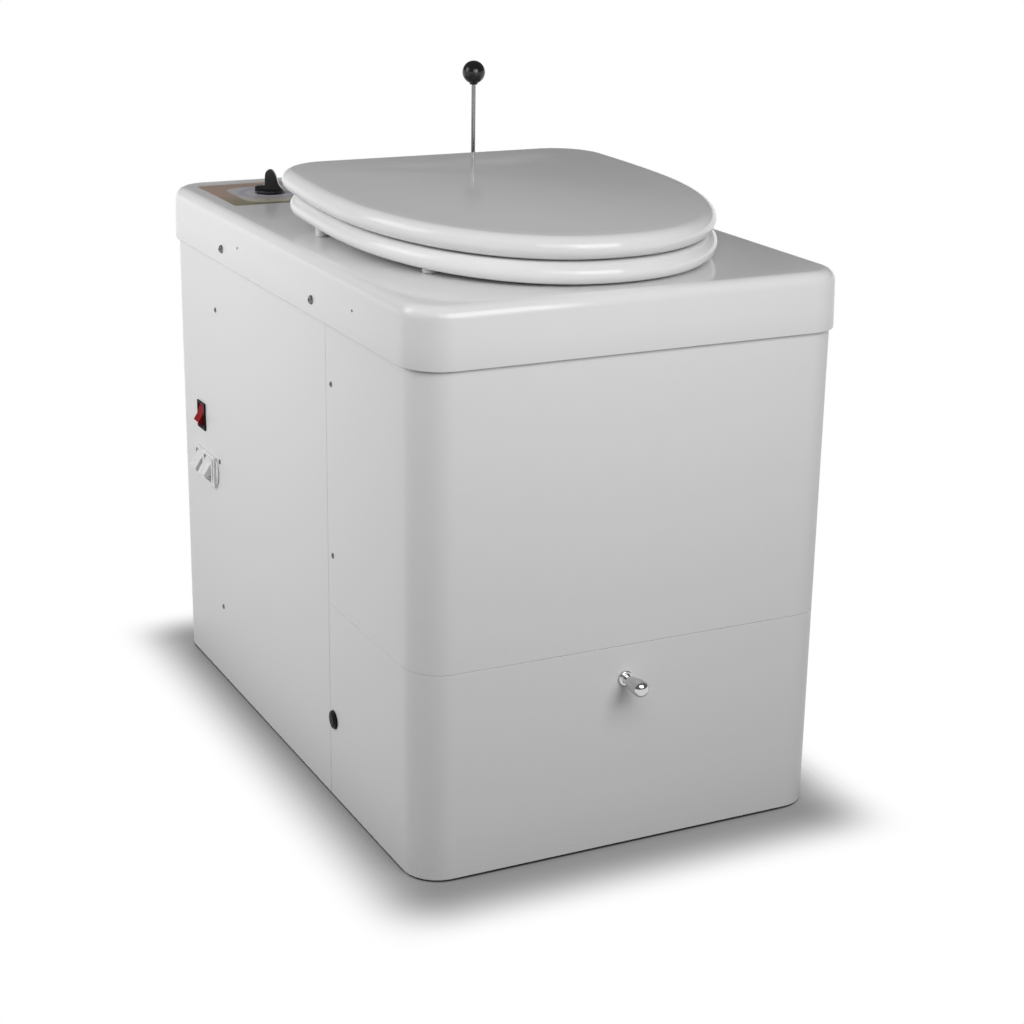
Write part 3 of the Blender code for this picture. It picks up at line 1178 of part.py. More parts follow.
def make_flue():
    """The flue collar: a plate on the fan's mouth and a round tube through the rear panel."""
    mouth = FAN_MOUTH_Y + GAP
    top = FAN_HEIGHT + FAN_END_RADIUS
    middle = (FAN_OUTLET_LOW + top) / 2
    flue = box("flue_collar", (-FAN_HALF_WIDTH, mouth, FAN_OUTLET_LOW - FAN_WALL),
               (FAN_HALF_WIDTH, mouth + FLUE_FLANGE_SHEET, top + FAN_WALL), stainless())
    end = REAR_Y + FLUE_PROUD
    start = mouth + FLUE_FLANGE_SHEET - FLUE_WALL / 4
    join_round(flue, FLUE_RADIUS, (0, 0, middle), "Y", start, end, 32)
    cut_round(flue, FLUE_RADIUS - FLUE_WALL, (0, 0, middle), "Y", mouth - OVERRUN, end + OVERRUN, 32)


def make_drawer():
    """Drawer front, tray, runners, ash pan, knob and side plug."""
    seam_y = SEAM_Y
    wall = front_path(0, seam_y) + list(reversed(front_path(SHEET, seam_y)))
    top = SEAM_HEIGHT - SEAM / 2
    front = prism("drawer_front", wall, PANEL_BOTTOM, top, white_paint(), smooth=math.radians(30))
    knob = (KNOB_X, FRONT_Y, KNOB_HEIGHT)
    cut_round(front, KNOB_SCREW_RADIUS + GAP, knob, "Y", -OVERRUN, SHEET + OVERRUN, 12)
    plug = (-HALF_WIDTH, SEAM_Y - PLUG_BEFORE_SEAM, PLUG_HEIGHT)
    cut_round(front, PLUG_STEM_RADIUS + GAP, plug, "X", -OVERRUN, SHEET + OVERRUN, 16)
    make_tray()
    make_pan()
    make_knob()
    rise, steps = PLUG_RISE, 4
    profile = [(0, SHEET), (PLUG_STEM_RADIUS, SHEET), (PLUG_STEM_RADIUS, -GAP), (PLUG_RADIUS, -GAP)]
    for i in range(steps + 1):
        angle = math.pi / 2 * i / steps
        profile.append((PLUG_RADIUS * math.cos(angle), -GAP - rise / 4 - rise * 3 / 4 * math.sin(angle)))
    profile[-1] = (0, -GAP - rise)
    turned("side_plug", profile, plug, "X", black_plastic(), 20, math.radians(40))


def make_tray():
    """The sliding tray and its two fixed runners on the base pan."""
    half, t, lip = TRAY_HALF_WIDTH, TRAY_SHEET, TRAY_LIP_HEIGHT
    reach = half + TRAY_LIP_REACH
    right = [(half, TRAY_FLOOR), (half, lip), (reach, lip), (reach, lip + t), (half, lip + t),
             (half, TRAY_WALL_TOP), (half - t, TRAY_WALL_TOP), (half - t, TRAY_FLOOR + t)]
    outline = right + [(-x, z) for x, z in reversed(right)]
    prism("drawer_tray", outline, FRONT_Y + SHEET + GAP, REAR_Y - TRAY_REAR_SPACE, zinc_sheet(), "Y")
    outer, s = RUNNER_OUTER, RUNNER_SHEET
    inner = half + SLIDE_GAP + SLIDE_GAP
    low = lip - (RUNNER_SLOT - t) / 2
    high = low + RUNNER_SLOT
    foot = BASE_SHEET + GAP
    channel = [(outer, foot), (outer, high + s), (inner, high + s), (inner, high), (outer - s, high),
               (outer - s, low), (inner, low), (inner, low - s), (outer - s, low - s), (outer - s, foot + s),
               (outer - RUNNER_FOOT, foot + s), (outer - RUNNER_FOOT, foot)]
    start, end = from_front(RUNNER_FRONT), REAR_Y - RUNNER_REAR_SPACE
    prism("drawer_runner_right", channel, start, end, zinc_sheet(), "Y")
    prism("drawer_runner_left", mirrored(channel), start, end, zinc_sheet(), "Y")


def make_pan():
    """The ash pan: a tapered pressing with a turned lip, standing in the tray."""
    floor = TRAY_FLOOR + TRAY_SHEET + GAP
    x, y0, y1, t, taper = PAN_HALF_WIDTH, from_front(PAN_FRONT), from_front(PAN_REAR), PAN_WALL, PAN_TAPER
    rows = [(taper, floor), (0, PAN_TOP - t), (-PAN_LIP, PAN_TOP - t), (-PAN_LIP, PAN_TOP), (t, PAN_TOP),
            (taper + t, floor + t)]
    loops = []
    for i, z in rows:
        loops.append([(-x + i, y0 + i, z), (x - i, y0 + i, z), (x - i, y1 - i, z), (-x + i, y1 - i, z)])
    stacked("ash_pan", loops, stainless())


def make_knob():
    """The drawer's chrome knob: a flange, a waist and a long bulb with a round end, turned about Y."""
    shares = ((0.0, 1.0), (0.16, 0.66), (0.30, 0.70), (0.55, 0.96), (0.75, 1.0), (0.88, 0.86), (0.97, 0.45))
    reach, start = KNOB_LENGTH - KNOB_FLANGE_THICKNESS, -GAP - KNOB_FLANGE_THICKNESS
    profile = [(0, SHEET + KNOB_SCREW_LENGTH), (KNOB_SCREW_RADIUS, SHEET + KNOB_SCREW_LENGTH),
               (KNOB_SCREW_RADIUS, -GAP), (KNOB_FLANGE_RADIUS, -GAP), (KNOB_FLANGE_RADIUS, start + GAP)]
    for along, wide in shares[1:]:
        profile.append((KNOB_BULB_RADIUS * wide, start - reach * along))
    profile.insert(5, (KNOB_NECK_RADIUS, start))
    profile.append((0, start - reach))
    turned("drawer_knob", profile, (KNOB_X, FRONT_Y, KNOB_HEIGHT), "Y", chrome(), 24, math.radians(50))


def make_controls():
    """Label, timer, power rocker, breaker block, control box and mains inlet."""
    base = COVER_TOP - LABEL_RECESS + GAP
    label = prism("control_label", label_outline(0), base, base + LABEL_THICKNESS, label_film())
    bush = TIMER_BUSH_RADIUS + GAP
    cut_round(label, bush, (TIMER_X, TIMER_Y, COVER_TOP), "Z", -OVERRUN, OVERRUN)
    make_timer(base + LABEL_THICKNESS)
    make_power_switch()
    make_breaker()
    left = -HALF_WIDTH + CONTROL_SIDE_SPACE
    right = left + CONTROL_WIDTH
    timer_rear = TIMER_Y + TIMER_BODY_HALF
    rear = timer_rear + CONTROL_REAR_SHARE * (REAR_PANEL_INNER - timer_rear)
    low = (left, CONTROL_FRONT_Y, CONTROL_BOTTOM)
    high = (right, rear, CONTROL_TOP)
    control = box("control_box", low, high, zinc_sheet())
    t = CONTROL_WALL
    cut_box(control, (left + t, low[1] + t, low[2] + t), (right + OVERRUN, high[1] - t, high[2] - t))
    join_box(control, (-POST_OUTER, low[1], CONTROL_TOP - t), (left + t, TIMER_Y, CONTROL_TOP))
    make_inlet()


def make_timer(label_top):
    """Timer body with a bush and shaft through the cover, and its pointer knob."""
    y = TIMER_Y
    half = TIMER_BODY_HALF
    body = box("timer_body", (TIMER_X - half, y - half, COVER_REST - TIMER_BODY_DEPTH),
               (TIMER_X + half, y + half, COVER_REST), black_plastic())
    bush_top = label_top - COVER_REST
    top = (TIMER_X, y, COVER_REST)
    join_round(body, TIMER_BUSH_RADIUS, top, "Z", -OVERRUN, bush_top, 20)
    join_round(body, TIMER_SHAFT_RADIUS, top, "Z", -OVERRUN, bush_top + TIMER_SHAFT_REACH, 16)
    base = label_top + TIMER_KNOB_LIFT
    radius, height = TIMER_KNOB_RADIUS, TIMER_KNOB_BASE
    rim = radius * TIMER_RIM_SHARES[0], height * TIMER_RIM_SHARES[1]
    profile = [(0, 0), (radius, 0), (radius, rim[1]), (rim[0], height), (0, height)]
    knob = turned("timer_knob", profile, (TIMER_X, y, base), "Z", black_plastic(), 28, math.radians(35))
    shares = ((-0.93, 0.0), (-0.55, 0.22), (-0.50, 0.80), (-0.34, 0.95), (-0.05, 1.0), (0.20, 0.94),
              (0.36, 0.72), (0.50, 0.40), (0.95, 0.0))
    rise = TIMER_KNOB_HEIGHT - height
    low = base + height - TIMER_FIN_SINK
    outline = [(TIMER_X + radius * u, low + (rise + TIMER_FIN_SINK) * v) for u, v in reversed(shares)]
    half = TIMER_FIN_THICKNESS / 2
    fin = prism("adder", outline, y - half, y + half, black_plastic(), "Y")
    spin = Matrix.Translation((TIMER_X, y, 0)) @ Matrix.Rotation(TIMER_FIN_TURN, 4, "Z")
    fin.data.transform(spin @ Matrix.Translation((-TIMER_X, -y, 0)))
    carve(knob, fin, "UNION")
    bore = TIMER_SHAFT_RADIUS + GAP
    cut_round(knob, bore, (TIMER_X, y, label_top), "Z", -OVERRUN, TIMER_SHAFT_REACH + GAP, 16)


def make_power_switch():
    """Black switch body with a bezel, and a red rocker that turns about Y with its lower end out."""
    x0 = -HALF_WIDTH
    y = POWER_Y
    wide, tall, wall = POWER_HALF_WIDTH, POWER_HALF_HEIGHT, SWITCH_WALL
    body = box("power_switch_body", (x0 - GAP - BEZEL_THICKNESS, y - wide, POWER_HEIGHT - tall),
               (x0 - GAP, y + wide, POWER_HEIGHT + tall), black_plastic())
    inset = wall + GAP
    join_box(body, (x0 - GAP - BEZEL_THICKNESS / 2, y - wide + inset, POWER_HEIGHT - tall + inset),
             (x0 + SWITCH_DEPTH, y + wide - inset, POWER_HEIGHT + tall - inset))
    hole = inset + wall
    hole_z = tall - hole + wall / 2
    cut_box(body, (x0 - GAP - BEZEL_THICKNESS - OVERRUN, y - wide + hole, POWER_HEIGHT - hole_z),
            (x0 + SWITCH_DEPTH / 2, y + wide - hole, POWER_HEIGHT + hole_z))
    pivot = (x0 + POWER_PIVOT_DEPTH, POWER_HEIGHT)
    reach = tall - ROCKER_MARGIN - SWITCH_WALL / 2
    back = reach * ROCKER_BACK_SHARE
    face = [(-POWER_FACE, reach), (-POWER_CREASE, 0), (-POWER_FACE, -reach), (POWER_BACK, -back),
            (POWER_BACK, back)]
    outline = [turned_section(pivot, u, v, POWER_THROW / 2) for u, v in face]
    half = wide - hole - ROCKER_SIDE_GAP
    prism("power_rocker", outline, y - half, y + half, red_plastic(), "Y")


def turned_section(pivot, u, v, angle):
    """A section point (outward negative X, up) turned about the pivot so that its lower end comes out."""
    return (pivot[0] + u * math.cos(angle) + v * math.sin(angle),
            pivot[1] - u * math.sin(angle) + v * math.cos(angle))


def make_breaker():
    """White block with a proud frame, two toggles whose lower ends stand out, and a ridged side bay."""
    x0 = -HALF_WIDTH - GAP
    y0, y1 = BREAKER_FRONT_Y, BREAKER_REAR_Y
    low, high = BREAKER_BOTTOM, BREAKER_TOP
    inset = BREAKER_LIP + GAP
    block = box("breaker_block", (x0 - BREAKER_PROUD, y0, low), (x0, y1, high), white_plastic())
    join_box(block, (x0 - BREAKER_PROUD / 2, y0 + inset, low + inset),
             (x0 + SWITCH_DEPTH, y1 - inset, high - inset))
    bay = (y1 - y0 - BREAKER_SIDE_BAY - BREAKER_LIP) / 2
    wall = BREAKER_LIP / 2
    for i, name in enumerate(("breaker_toggle_front", "breaker_toggle_rear")):
        start = y0 + BREAKER_SIDE_BAY + bay * i
        cut_box(block, (x0 - BREAKER_PROUD - OVERRUN, start + wall, low + inset),
                (x0 + BREAKER_CAVITY, start + bay - wall, high - inset))
        toggle(name, start + wall + ROCKER_SIDE_GAP, start + bay - wall - ROCKER_SIDE_GAP)
    groove = BREAKER_SIDE_BAY / 3
    cut_box(block, (x0 - BREAKER_PROUD - OVERRUN, y0 + groove, low + inset),
            (x0 - BREAKER_PROUD / 2, y0 + 2 * groove, high - inset))


def toggle(name, start, end):
    """A wedge-shaped toggle: hinged near its top, its lower lip standing out from the block."""
    shares = ((-0.27, 0.42), (-0.86, -0.50), (-0.80, -0.66), (-0.12, -0.50), (0.12, -0.35), (0.14, 0.36))
    pivot = (-HALF_WIDTH + TOGGLE_PIVOT_DEPTH, TOGGLE_PIVOT_HEIGHT)
    outline = [(pivot[0] + TOGGLE_RADIUS * u, pivot[1] + TOGGLE_RADIUS * v) for u, v in shares]
    prism(name, outline, start, end, white_plastic(), "Y")


def make_inlet():
    """The mains lead's gland on the rear panel: a nut, a dome with its bore, and a threaded tail."""
    face = REAR_Y - SHEET
    nut, dome = INLET_NUT_THICKNESS, INLET_DOME_LENGTH
    thread, end = -INLET_THREAD_LENGTH, nut + dome
    profile = [(INLET_BORE_RADIUS, thread), (INLET_THREAD_RADIUS, thread), (INLET_THREAD_RADIUS, 0),
               (INLET_NUT_RADIUS, 0), (INLET_NUT_RADIUS, nut), (INLET_DOME_RADIUS, nut),
               (INLET_DOME_RADIUS, nut + dome / 2), (INLET_BORE_RADIUS + INLET_MOUTH_WALL, end),
               (INLET_BORE_RADIUS, end)]
    turned("mains_inlet", profile, (INLET_X, face, INLET_HEIGHT), "Y", black_plastic(), 24, math.radians(35))


def main():
    for old in list(bpy.data.objects):
        bpy.data.objects.remove(old)
    make_casing()
    make_posts()
    make_cover()
    make_seat()
    make_hinges()
    make_bowl()
    make_throat()
    make_flap()
    make_lever()
    make_chamber()
    make_element()
    make_exhaust()
    make_drawer()
    make_controls()


main()
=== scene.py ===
import json
import math

import bmesh
import bpy
import numpy as np
from mathutils import Matrix, Vector

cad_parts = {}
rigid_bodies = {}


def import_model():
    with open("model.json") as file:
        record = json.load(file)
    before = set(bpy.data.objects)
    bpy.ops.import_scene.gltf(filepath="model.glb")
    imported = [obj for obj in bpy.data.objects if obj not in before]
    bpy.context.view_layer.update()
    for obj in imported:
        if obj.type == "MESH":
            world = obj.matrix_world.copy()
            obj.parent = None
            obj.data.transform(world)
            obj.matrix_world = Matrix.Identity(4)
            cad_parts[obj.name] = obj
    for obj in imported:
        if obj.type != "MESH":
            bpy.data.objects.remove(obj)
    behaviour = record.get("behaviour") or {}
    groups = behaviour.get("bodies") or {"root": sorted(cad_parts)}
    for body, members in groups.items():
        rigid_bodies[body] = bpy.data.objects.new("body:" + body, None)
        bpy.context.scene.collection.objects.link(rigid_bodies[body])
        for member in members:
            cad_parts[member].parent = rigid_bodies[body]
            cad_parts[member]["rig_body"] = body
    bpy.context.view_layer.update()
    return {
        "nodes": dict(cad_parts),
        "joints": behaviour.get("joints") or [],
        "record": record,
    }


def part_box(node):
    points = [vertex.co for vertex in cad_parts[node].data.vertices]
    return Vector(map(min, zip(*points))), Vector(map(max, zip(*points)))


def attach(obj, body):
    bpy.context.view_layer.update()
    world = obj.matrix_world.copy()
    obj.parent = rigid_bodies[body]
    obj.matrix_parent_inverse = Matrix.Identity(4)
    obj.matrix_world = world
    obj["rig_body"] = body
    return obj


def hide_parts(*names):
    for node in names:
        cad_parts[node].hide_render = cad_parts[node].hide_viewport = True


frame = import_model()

NODES = frame["nodes"]
SLOT_OF = {row["node"]: row["material_slot"] for row in frame["record"]["subparts"]}


def span(node):
    """Lowest and highest corner of a CAD node, as arrays."""
    low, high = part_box(node)
    return np.array(low), np.array(high)


def middle(node):
    """Centre of a CAD node's box."""
    low, high = span(node)
    return (low + high) / 2


# Casing, read from the frame
PANEL_LOW, PANEL_HIGH = span("upper_front_panel")
DRAWER_LOW = span("drawer_front")[0]
SIDE_LOW, SIDE_HIGH = span("left_side_panel")
COVER_LOW, COVER_HIGH = span("top_cover")
HALF_WIDTH = PANEL_HIGH[0]
FRONT_Y = PANEL_LOW[1]
REAR_Y = SIDE_HIGH[1]
SEAM_Y = PANEL_HIGH[1]
FRONT_RADIUS = 0.035
REAR_RADIUS = 0.038
SHEET = 0.002
SHEET_EDGE = 0.0004
SEAM_GAP = 0.0003
WALL_ROWS = 6
SWITCH_LEDGE = 0.004
SWITCH_CUT_DEPTH = 0.016

# Cover
COVER_TOP = COVER_HIGH[2]
COVER_OVERHANG = COVER_HIGH[0] - HALF_WIDTH
COVER_WALL = 0.0035
COVER_DRAFT = 0.0013
COVER_EDGE = 0.012
COVER_LIP = 0.0009
APERTURE = (0.118, 0.148)
APERTURE_EDGE = 0.0016
BOWL_SETBACK = 0.240
LABEL_RECESS = 0.0005
CUT_MARGIN = 0.0003
SLOT_TRIM_LEDGE = 0.0055

# Seat and lid
SEAT_X = -0.006
TILT = math.tan(math.radians(1.674))
LID_HALF_WIDTH = 0.1866
LID_FRONT_DEPTH = 0.2702
LID_WIDEST = 0.2893
LID_REAR = 0.4483
LID_REAR_HALF_WIDTH = 0.1772
LID_REAR_RADIUS = 0.0581
LID_POWER = 2.16
LID_THICKNESS = 0.0213
RIM_DEPTH = 0.0118
LID_CROWN = 0.0042
LID_RECESS = 0.009
LID_HOLLOW = ((0.015, LID_RECESS), (0.0115, LID_RECESS - 0.0012), (0.010, 0.0035), (0.0085, 0.0010),
              (0.006, 0))
SEAT_INSET = 0.0017
SEAT_FORWARD = 0.007
SEAT_REAR_RADIUS = 0.0845
SEAT_THICKNESS = 0.0195
SEAT_LIFT = 0.0012
SEAT_BOTTOM = COVER_TOP + SEAT_LIFT
LID_GAP = 0.0014
SEAT_DISH = 0.0022
SEAT_HOLE_EDGE = 0.009
SEAT_HOLE_SHARE = 0.97
SEAT_HOLLOW = 0.008
SEAT_HOLLOW_SHARES = (0.12, 0.2, 0.24, 0.3, 0.7, 0.76, 0.8, 0.88)
SEAT_HOLLOW_DEPTH_SHARES = (0, 0.15, 0.8, 1, 1, 0.8, 0.15, 0)
BUFFER_BULGE_SHARE = 0.14


def from_front(setback):
    """The Y of a place given as its distance behind the casing's front face."""
    return FRONT_Y + setback


# Materials
NOISE_ENDS = (0.3, 0.7)
GRAIN_DETAIL = 4.0
RELIEF_DETAIL = 2.0


def adder(tree):
    """A function that adds a node to a tree, sets its settings and sets or links its inputs."""
    def add(kind, inputs=(), **settings):
        """The node of a kind, whose inputs are set by values and linked by sockets."""
        node = tree.nodes.new(kind)
        for key, value in settings.items():
            setattr(node, key, value)
        for key, value in dict(inputs).items():
            if isinstance(value, bpy.types.NodeSocket):
                tree.links.new(value, node.inputs[key])
            else:
                node.inputs[key].default_value = value
        return node
    return add


def shader_tree(name):
    """A material, its Principled shader, the function that adds a node and the object's own coordinates."""
    made = bpy.data.materials.new(name)
    made.use_nodes = True
    add = adder(made.node_tree)
    return made, made.node_tree.nodes["Principled BSDF"], add, add("ShaderNodeTexCoord").outputs["Object"]


def mixed(add, share, first, second):
    """A colour between two, each a tone or a socket, by a share from 0 to 1."""
    inputs = {0: share}
    for index, value in ((6, first), (7, second)):
        inputs[index] = value if isinstance(value, bpy.types.NodeSocket) else (*value, 1)
    return add("ShaderNodeMix", inputs, data_type="RGBA").outputs[2]


def finish(name, tones, roughness, grain, relief=(), metallic=0.0, stretch=(1, 1, 1), **sockets):
    """A finish whose colour runs between two tones and whose roughness between two values, both with a
    noise of `grain` waves a metre. Each relief (waves a metre, depth, strength) bumps the surface in turn.
    Stretch scales the object's coordinates, so a brushed grain is drawn out along one axis."""
    made, shader, add, place = shader_tree(name)
    link = made.node_tree.links.new
    place = add("ShaderNodeMapping", {"Vector": place, "Scale": stretch}).outputs["Vector"]
    noise = add("ShaderNodeTexNoise", {"Vector": place, "Scale": grain, "Detail": GRAIN_DETAIL})
    noise = noise.outputs["Fac"]
    link(mixed(add, noise, *tones), shader.inputs["Base Color"])
    spread = add("ShaderNodeMapRange", {"Value": noise, "From Min": NOISE_ENDS[0],
                                        "From Max": NOISE_ENDS[1], "To Min": roughness[0],
                                        "To Max": roughness[1]})
    link(spread.outputs[0], shader.inputs["Roughness"])
    normal = None
    for waves, depth, strength in relief:
        ripple = add("ShaderNodeTexNoise", {"Vector": place, "Scale": waves, "Detail": RELIEF_DETAIL})
        bump = add("ShaderNodeBump", {"Height": ripple.outputs["Fac"], "Distance": depth,
                                      "Strength": strength})
        if normal is not None:
            link(normal, bump.inputs["Normal"])
        normal = bump.outputs["Normal"]
    if normal is not None:
        link(normal, shader.inputs["Normal"])
    shader.inputs["Metallic"].default_value = metallic
    for key, value in sockets.items():
        shader.inputs[key.replace("_", " ")].default_value = value
    return made


# Label and dial
TIMER = middle("timer_body")[:2]
TIMER_BUSH = 0.0058
LABEL_TAN = ((0.33, 0.22, 0.16), (0.45, 0.32, 0.25))
LABEL_OLIVE = (0.235, 0.205, 0.11)
LABEL_OLIVE_REACH = 0.040
LABEL_OLIVE_BLUR = 0.018
LABEL_PALE = (0.50, 0.50, 0.525)
LABEL_CREAM = (0.52, 0.50, 0.40)
LABEL_PANEL_CENTRE = (-0.134, from_front(0.5815))
LABEL_PANEL_HALF = (0.041, 0.0485)
LABEL_PANEL_CORNER = 0.021
LABEL_GLOSS = 0.32
LABEL_BLUR = 0.0002
LABEL_STREAKS = (12, 420, 1)
LABEL_STREAK_DETAIL = 3.0
LABEL_RELIEF = (900.0, 0.00003, 0.4)
DIAL_LAVENDER = (0.38, 0.36, 0.46)
DIAL_NAVY = (0.012, 0.014, 0.055)
DIAL_RINGS = ((0.0345, DIAL_LAVENDER, 0.002), (0.0275, LABEL_PALE, 0.002), (0.0165, DIAL_NAVY, 0.0008))
LABEL_DOT_PLACE = (-0.1514, from_front(0.5453))
LABEL_DOT_RADIUS = 0.0022
LABEL_DOT_ORANGE = (0.42, 0.12, 0.03)
LABEL_CORNER = 0.004
DIAL_NUMBERS = ("0", "15", "30", "45", "60", "75", "90", "105")
DIAL_NUMBER_REACH = 0.0395
DIAL_NUMBER_START = 136.0
DIAL_NUMBER_SIZE = 0.0062
DIAL_NUMBER_DEPTH = 0.00003
DIAL_NUMBER_STEPS = 3


def label_print():
    """Printed film: a tan field with faint streaks that turns olive towards the front, a pale rounded panel
    that turns cream there, and the dial's rings, all from distances in the object's own coordinates."""
    made, shader, add, place = shader_tree("label_film")
    front = span("control_label")[0][1]

    def vector_node(operation, *values):
        """A vector worked out from others, or a vector's length."""
        node = add("ShaderNodeVectorMath", dict(enumerate(values)), operation=operation)
        return node.outputs["Value" if operation == "LENGTH" else "Vector"]

    def below(value, edge, blur=LABEL_BLUR):
        """1 below the edge and 0 above it."""
        return add("ShaderNodeMapRange", {"Value": value, "From Min": edge - blur, "From Max": edge + blur,
                                          "To Min": 1.0, "To Max": 0.0}).outputs[0]

    def away(centre):
        """The flat offset from a centre."""
        return vector_node("MULTIPLY", vector_node("SUBTRACT", place, (*centre, 0)), (1, 1, 0))

    streak = add("ShaderNodeMapping", {"Vector": place, "Scale": LABEL_STREAKS}).outputs["Vector"]
    streak = add("ShaderNodeTexNoise", {"Vector": streak, "Scale": 1.0, "Detail": LABEL_STREAK_DETAIL})
    streak = streak.outputs["Fac"]
    forward = add("ShaderNodeSeparateXYZ", {"Vector": place}).outputs["Y"]
    near = below(forward, front + LABEL_OLIVE_REACH, LABEL_OLIVE_BLUR)
    colour = mixed(add, near, mixed(add, streak, *LABEL_TAN), LABEL_OLIVE)
    corner = vector_node("ABSOLUTE", away(LABEL_PANEL_CENTRE))
    straight = tuple(half - LABEL_PANEL_CORNER for half in LABEL_PANEL_HALF)
    corner = vector_node("MAXIMUM", vector_node("SUBTRACT", corner, (*straight, 0)), (0, 0, 0))
    panel = below(vector_node("LENGTH", corner), LABEL_PANEL_CORNER)
    colour = mixed(add, panel, colour, mixed(add, near, LABEL_PALE, LABEL_CREAM))
    reach = vector_node("LENGTH", away(TIMER))
    for radius, tone, blur in DIAL_RINGS:
        colour = mixed(add, below(reach, radius, blur), colour, tone)
    dot = below(vector_node("LENGTH", away(LABEL_DOT_PLACE)), LABEL_DOT_RADIUS)
    colour = mixed(add, dot, colour, LABEL_DOT_ORANGE)
    made.node_tree.links.new(colour, shader.inputs["Base Color"])
    shader.inputs["Roughness"].default_value = LABEL_GLOSS
    waves, depth, strength = LABEL_RELIEF
    film = add("ShaderNodeTexNoise", {"Vector": place, "Scale": waves}).outputs["Fac"]
    bump = add("ShaderNodeBump", {"Height": film, "Distance": depth, "Strength": strength})
    made.node_tree.links.new(bump.outputs["Normal"], shader.inputs["Normal"])
    return made


def grey(level):
    """A neutral tone."""
    return level, level, level


def make_materials():
    """A finish for each of the record's material slots, and for the few pieces that have one of their own:
    tones, roughness, grain, relief and the shader's other settings."""
    fine = (1200.0, 0.00003, 0.3)
    finishes = {
        "white_powder_coat": ((grey(0.78), grey(0.80)), (0.34, 0.40), 60.0,
                              ((1400.0, 0.00004, 0.35), (35.0, 0.0006, 0.05)),
                              dict(IOR=1.5, Specular_IOR_Level=0.45)),
        "gloss_white_moulding": ((grey(0.79), grey(0.81)), (0.10, 0.13), 25.0,
                                 ((9.0, 0.004, 0.035), (160.0, 0.00008, 0.10)),
                                 dict(IOR=1.5, Specular_IOR_Level=0.45)),
        "zinc_sheet": (((0.44, 0.45, 0.47), (0.60, 0.61, 0.63)), (0.30, 0.48), 45.0,
                       ((300.0, 0.0001, 0.15),), dict(metallic=1.0)),
        "chrome_plate": (((0.80, 0.80, 0.81), (0.86, 0.86, 0.87)), (0.04, 0.09), 120.0,
                         ((90.0, 0.0001, 0.05),), dict(metallic=1.0)),
        "stainless_steel": (((0.52, 0.52, 0.51), (0.66, 0.66, 0.65)), (0.20, 0.34), 60.0,
                            ((900.0, 0.00004, 0.5),), dict(metallic=1.0, stretch=(1, 1, 14))),
        "heat_steel": (((0.14, 0.12, 0.11), (0.34, 0.27, 0.22)), (0.42, 0.68), 22.0,
                       ((500.0, 0.0002, 0.4),), dict(metallic=0.9)),
        "ceramic_fibre": (((0.60, 0.57, 0.50), (0.76, 0.74, 0.68)), (0.88, 0.98), 90.0,
                          ((420.0, 0.0008, 0.6), (60.0, 0.002, 0.3)), {}),
        "black_plastic": (((0.008, 0.008, 0.009), (0.016, 0.016, 0.017)), (0.14, 0.22), 80.0,
                          (fine,), dict(IOR=1.5)),
        "red_plastic": (((0.22, 0.003, 0.005), (0.28, 0.005, 0.008)), (0.40, 0.48), 90.0,
                        ((800.0, 0.00003, 0.2),), dict(IOR=1.45, Specular_IOR_Level=0.06)),
        "bezel_black": (((0.005, 0.005, 0.006), (0.009, 0.009, 0.010)), (0.38, 0.46), 90.0,
                        (fine,), dict(IOR=1.45, Specular_IOR_Level=0.12)),
        "white_plastic": ((grey(0.79), grey(0.83)), (0.24, 0.32), 80.0,
                          ((1100.0, 0.00004, 0.3),), dict(IOR=1.5)),
        "screw_steel": ((grey(0.16), grey(0.22)), (0.34, 0.42), 150.0, (), dict(metallic=1.0)),
        "rod_steel": ((grey(0.23), grey(0.27)), (0.14, 0.18), 60.0, (), dict(metallic=1.0)),
        # The knob's chrome is a darker copy of chrome_plate. This is a painted dark reflection that stands
        # for the dim room the bulb mirrors.
        "knob_chrome_painted_dark_reflection": (((0.56, 0.56, 0.565), (0.62, 0.62, 0.625)), (0.05, 0.09), 120.0,
                        ((90.0, 0.0001, 0.05),), dict(metallic=1.0)),
        "dial_ink": (((0.26, 0.26, 0.29), (0.30, 0.30, 0.33)), (0.30, 0.38), 200.0, (), {}),
        "clear_rubber": (((0.74, 0.74, 0.72), (0.80, 0.80, 0.78)), (0.38, 0.50), 150.0,
                         ((700.0, 0.00005, 0.3),), dict(Transmission_Weight=0.25, IOR=1.45)),
    }
    made = {name: finish(name, *looks, **settings) for name, (*looks, settings) in finishes.items()}
    made["label_film"] = label_print()
    return made


MATERIALS = make_materials()


# Shapes as arrays of points
MERGE = 1e-6
SLIVER = 1e-7
FLAT = 1.0
SMOOTH = 35.0
ROUND_SMOOTH = 50.0
PART_EDGE = 0.0004
EDGE_ANGLE = 40.0


def piece_from(name, verts, faces, slot, body="root", angle=SMOOTH, replaces=(), look=None):
    """A piece from vertices and faces: doubles merged, normals outward, smooth below the given angle."""
    mesh = bpy.data.meshes.new(name)
    mesh.from_pydata(verts, [], faces)
    tidy(mesh)
    return dressed(name, mesh, slot, body, angle, replaces, look)


def tidy(mesh, flat=False):
    """Merges doubles, drops faces without area, or merges flat triangles into one face where flat, and
    turns every face outwards."""
    work = bmesh.new()
    work.from_mesh(mesh)
    bmesh.ops.remove_doubles(work, verts=work.verts, dist=MERGE)
    if flat:
        bmesh.ops.dissolve_limit(work, angle_limit=math.radians(FLAT), verts=work.verts, edges=work.edges)
    else:
        bmesh.ops.dissolve_degenerate(work, edges=work.edges, dist=SLIVER)
    bmesh.ops.recalc_face_normals(work, faces=work.faces)
    work.to_mesh(mesh)
    work.free()


def points_of(mesh):
    """A mesh's vertices as rows of an array."""
    points = np.empty(len(mesh.vertices) * 3)
    mesh.vertices.foreach_get("co", points)
    return points.reshape(-1, 3)


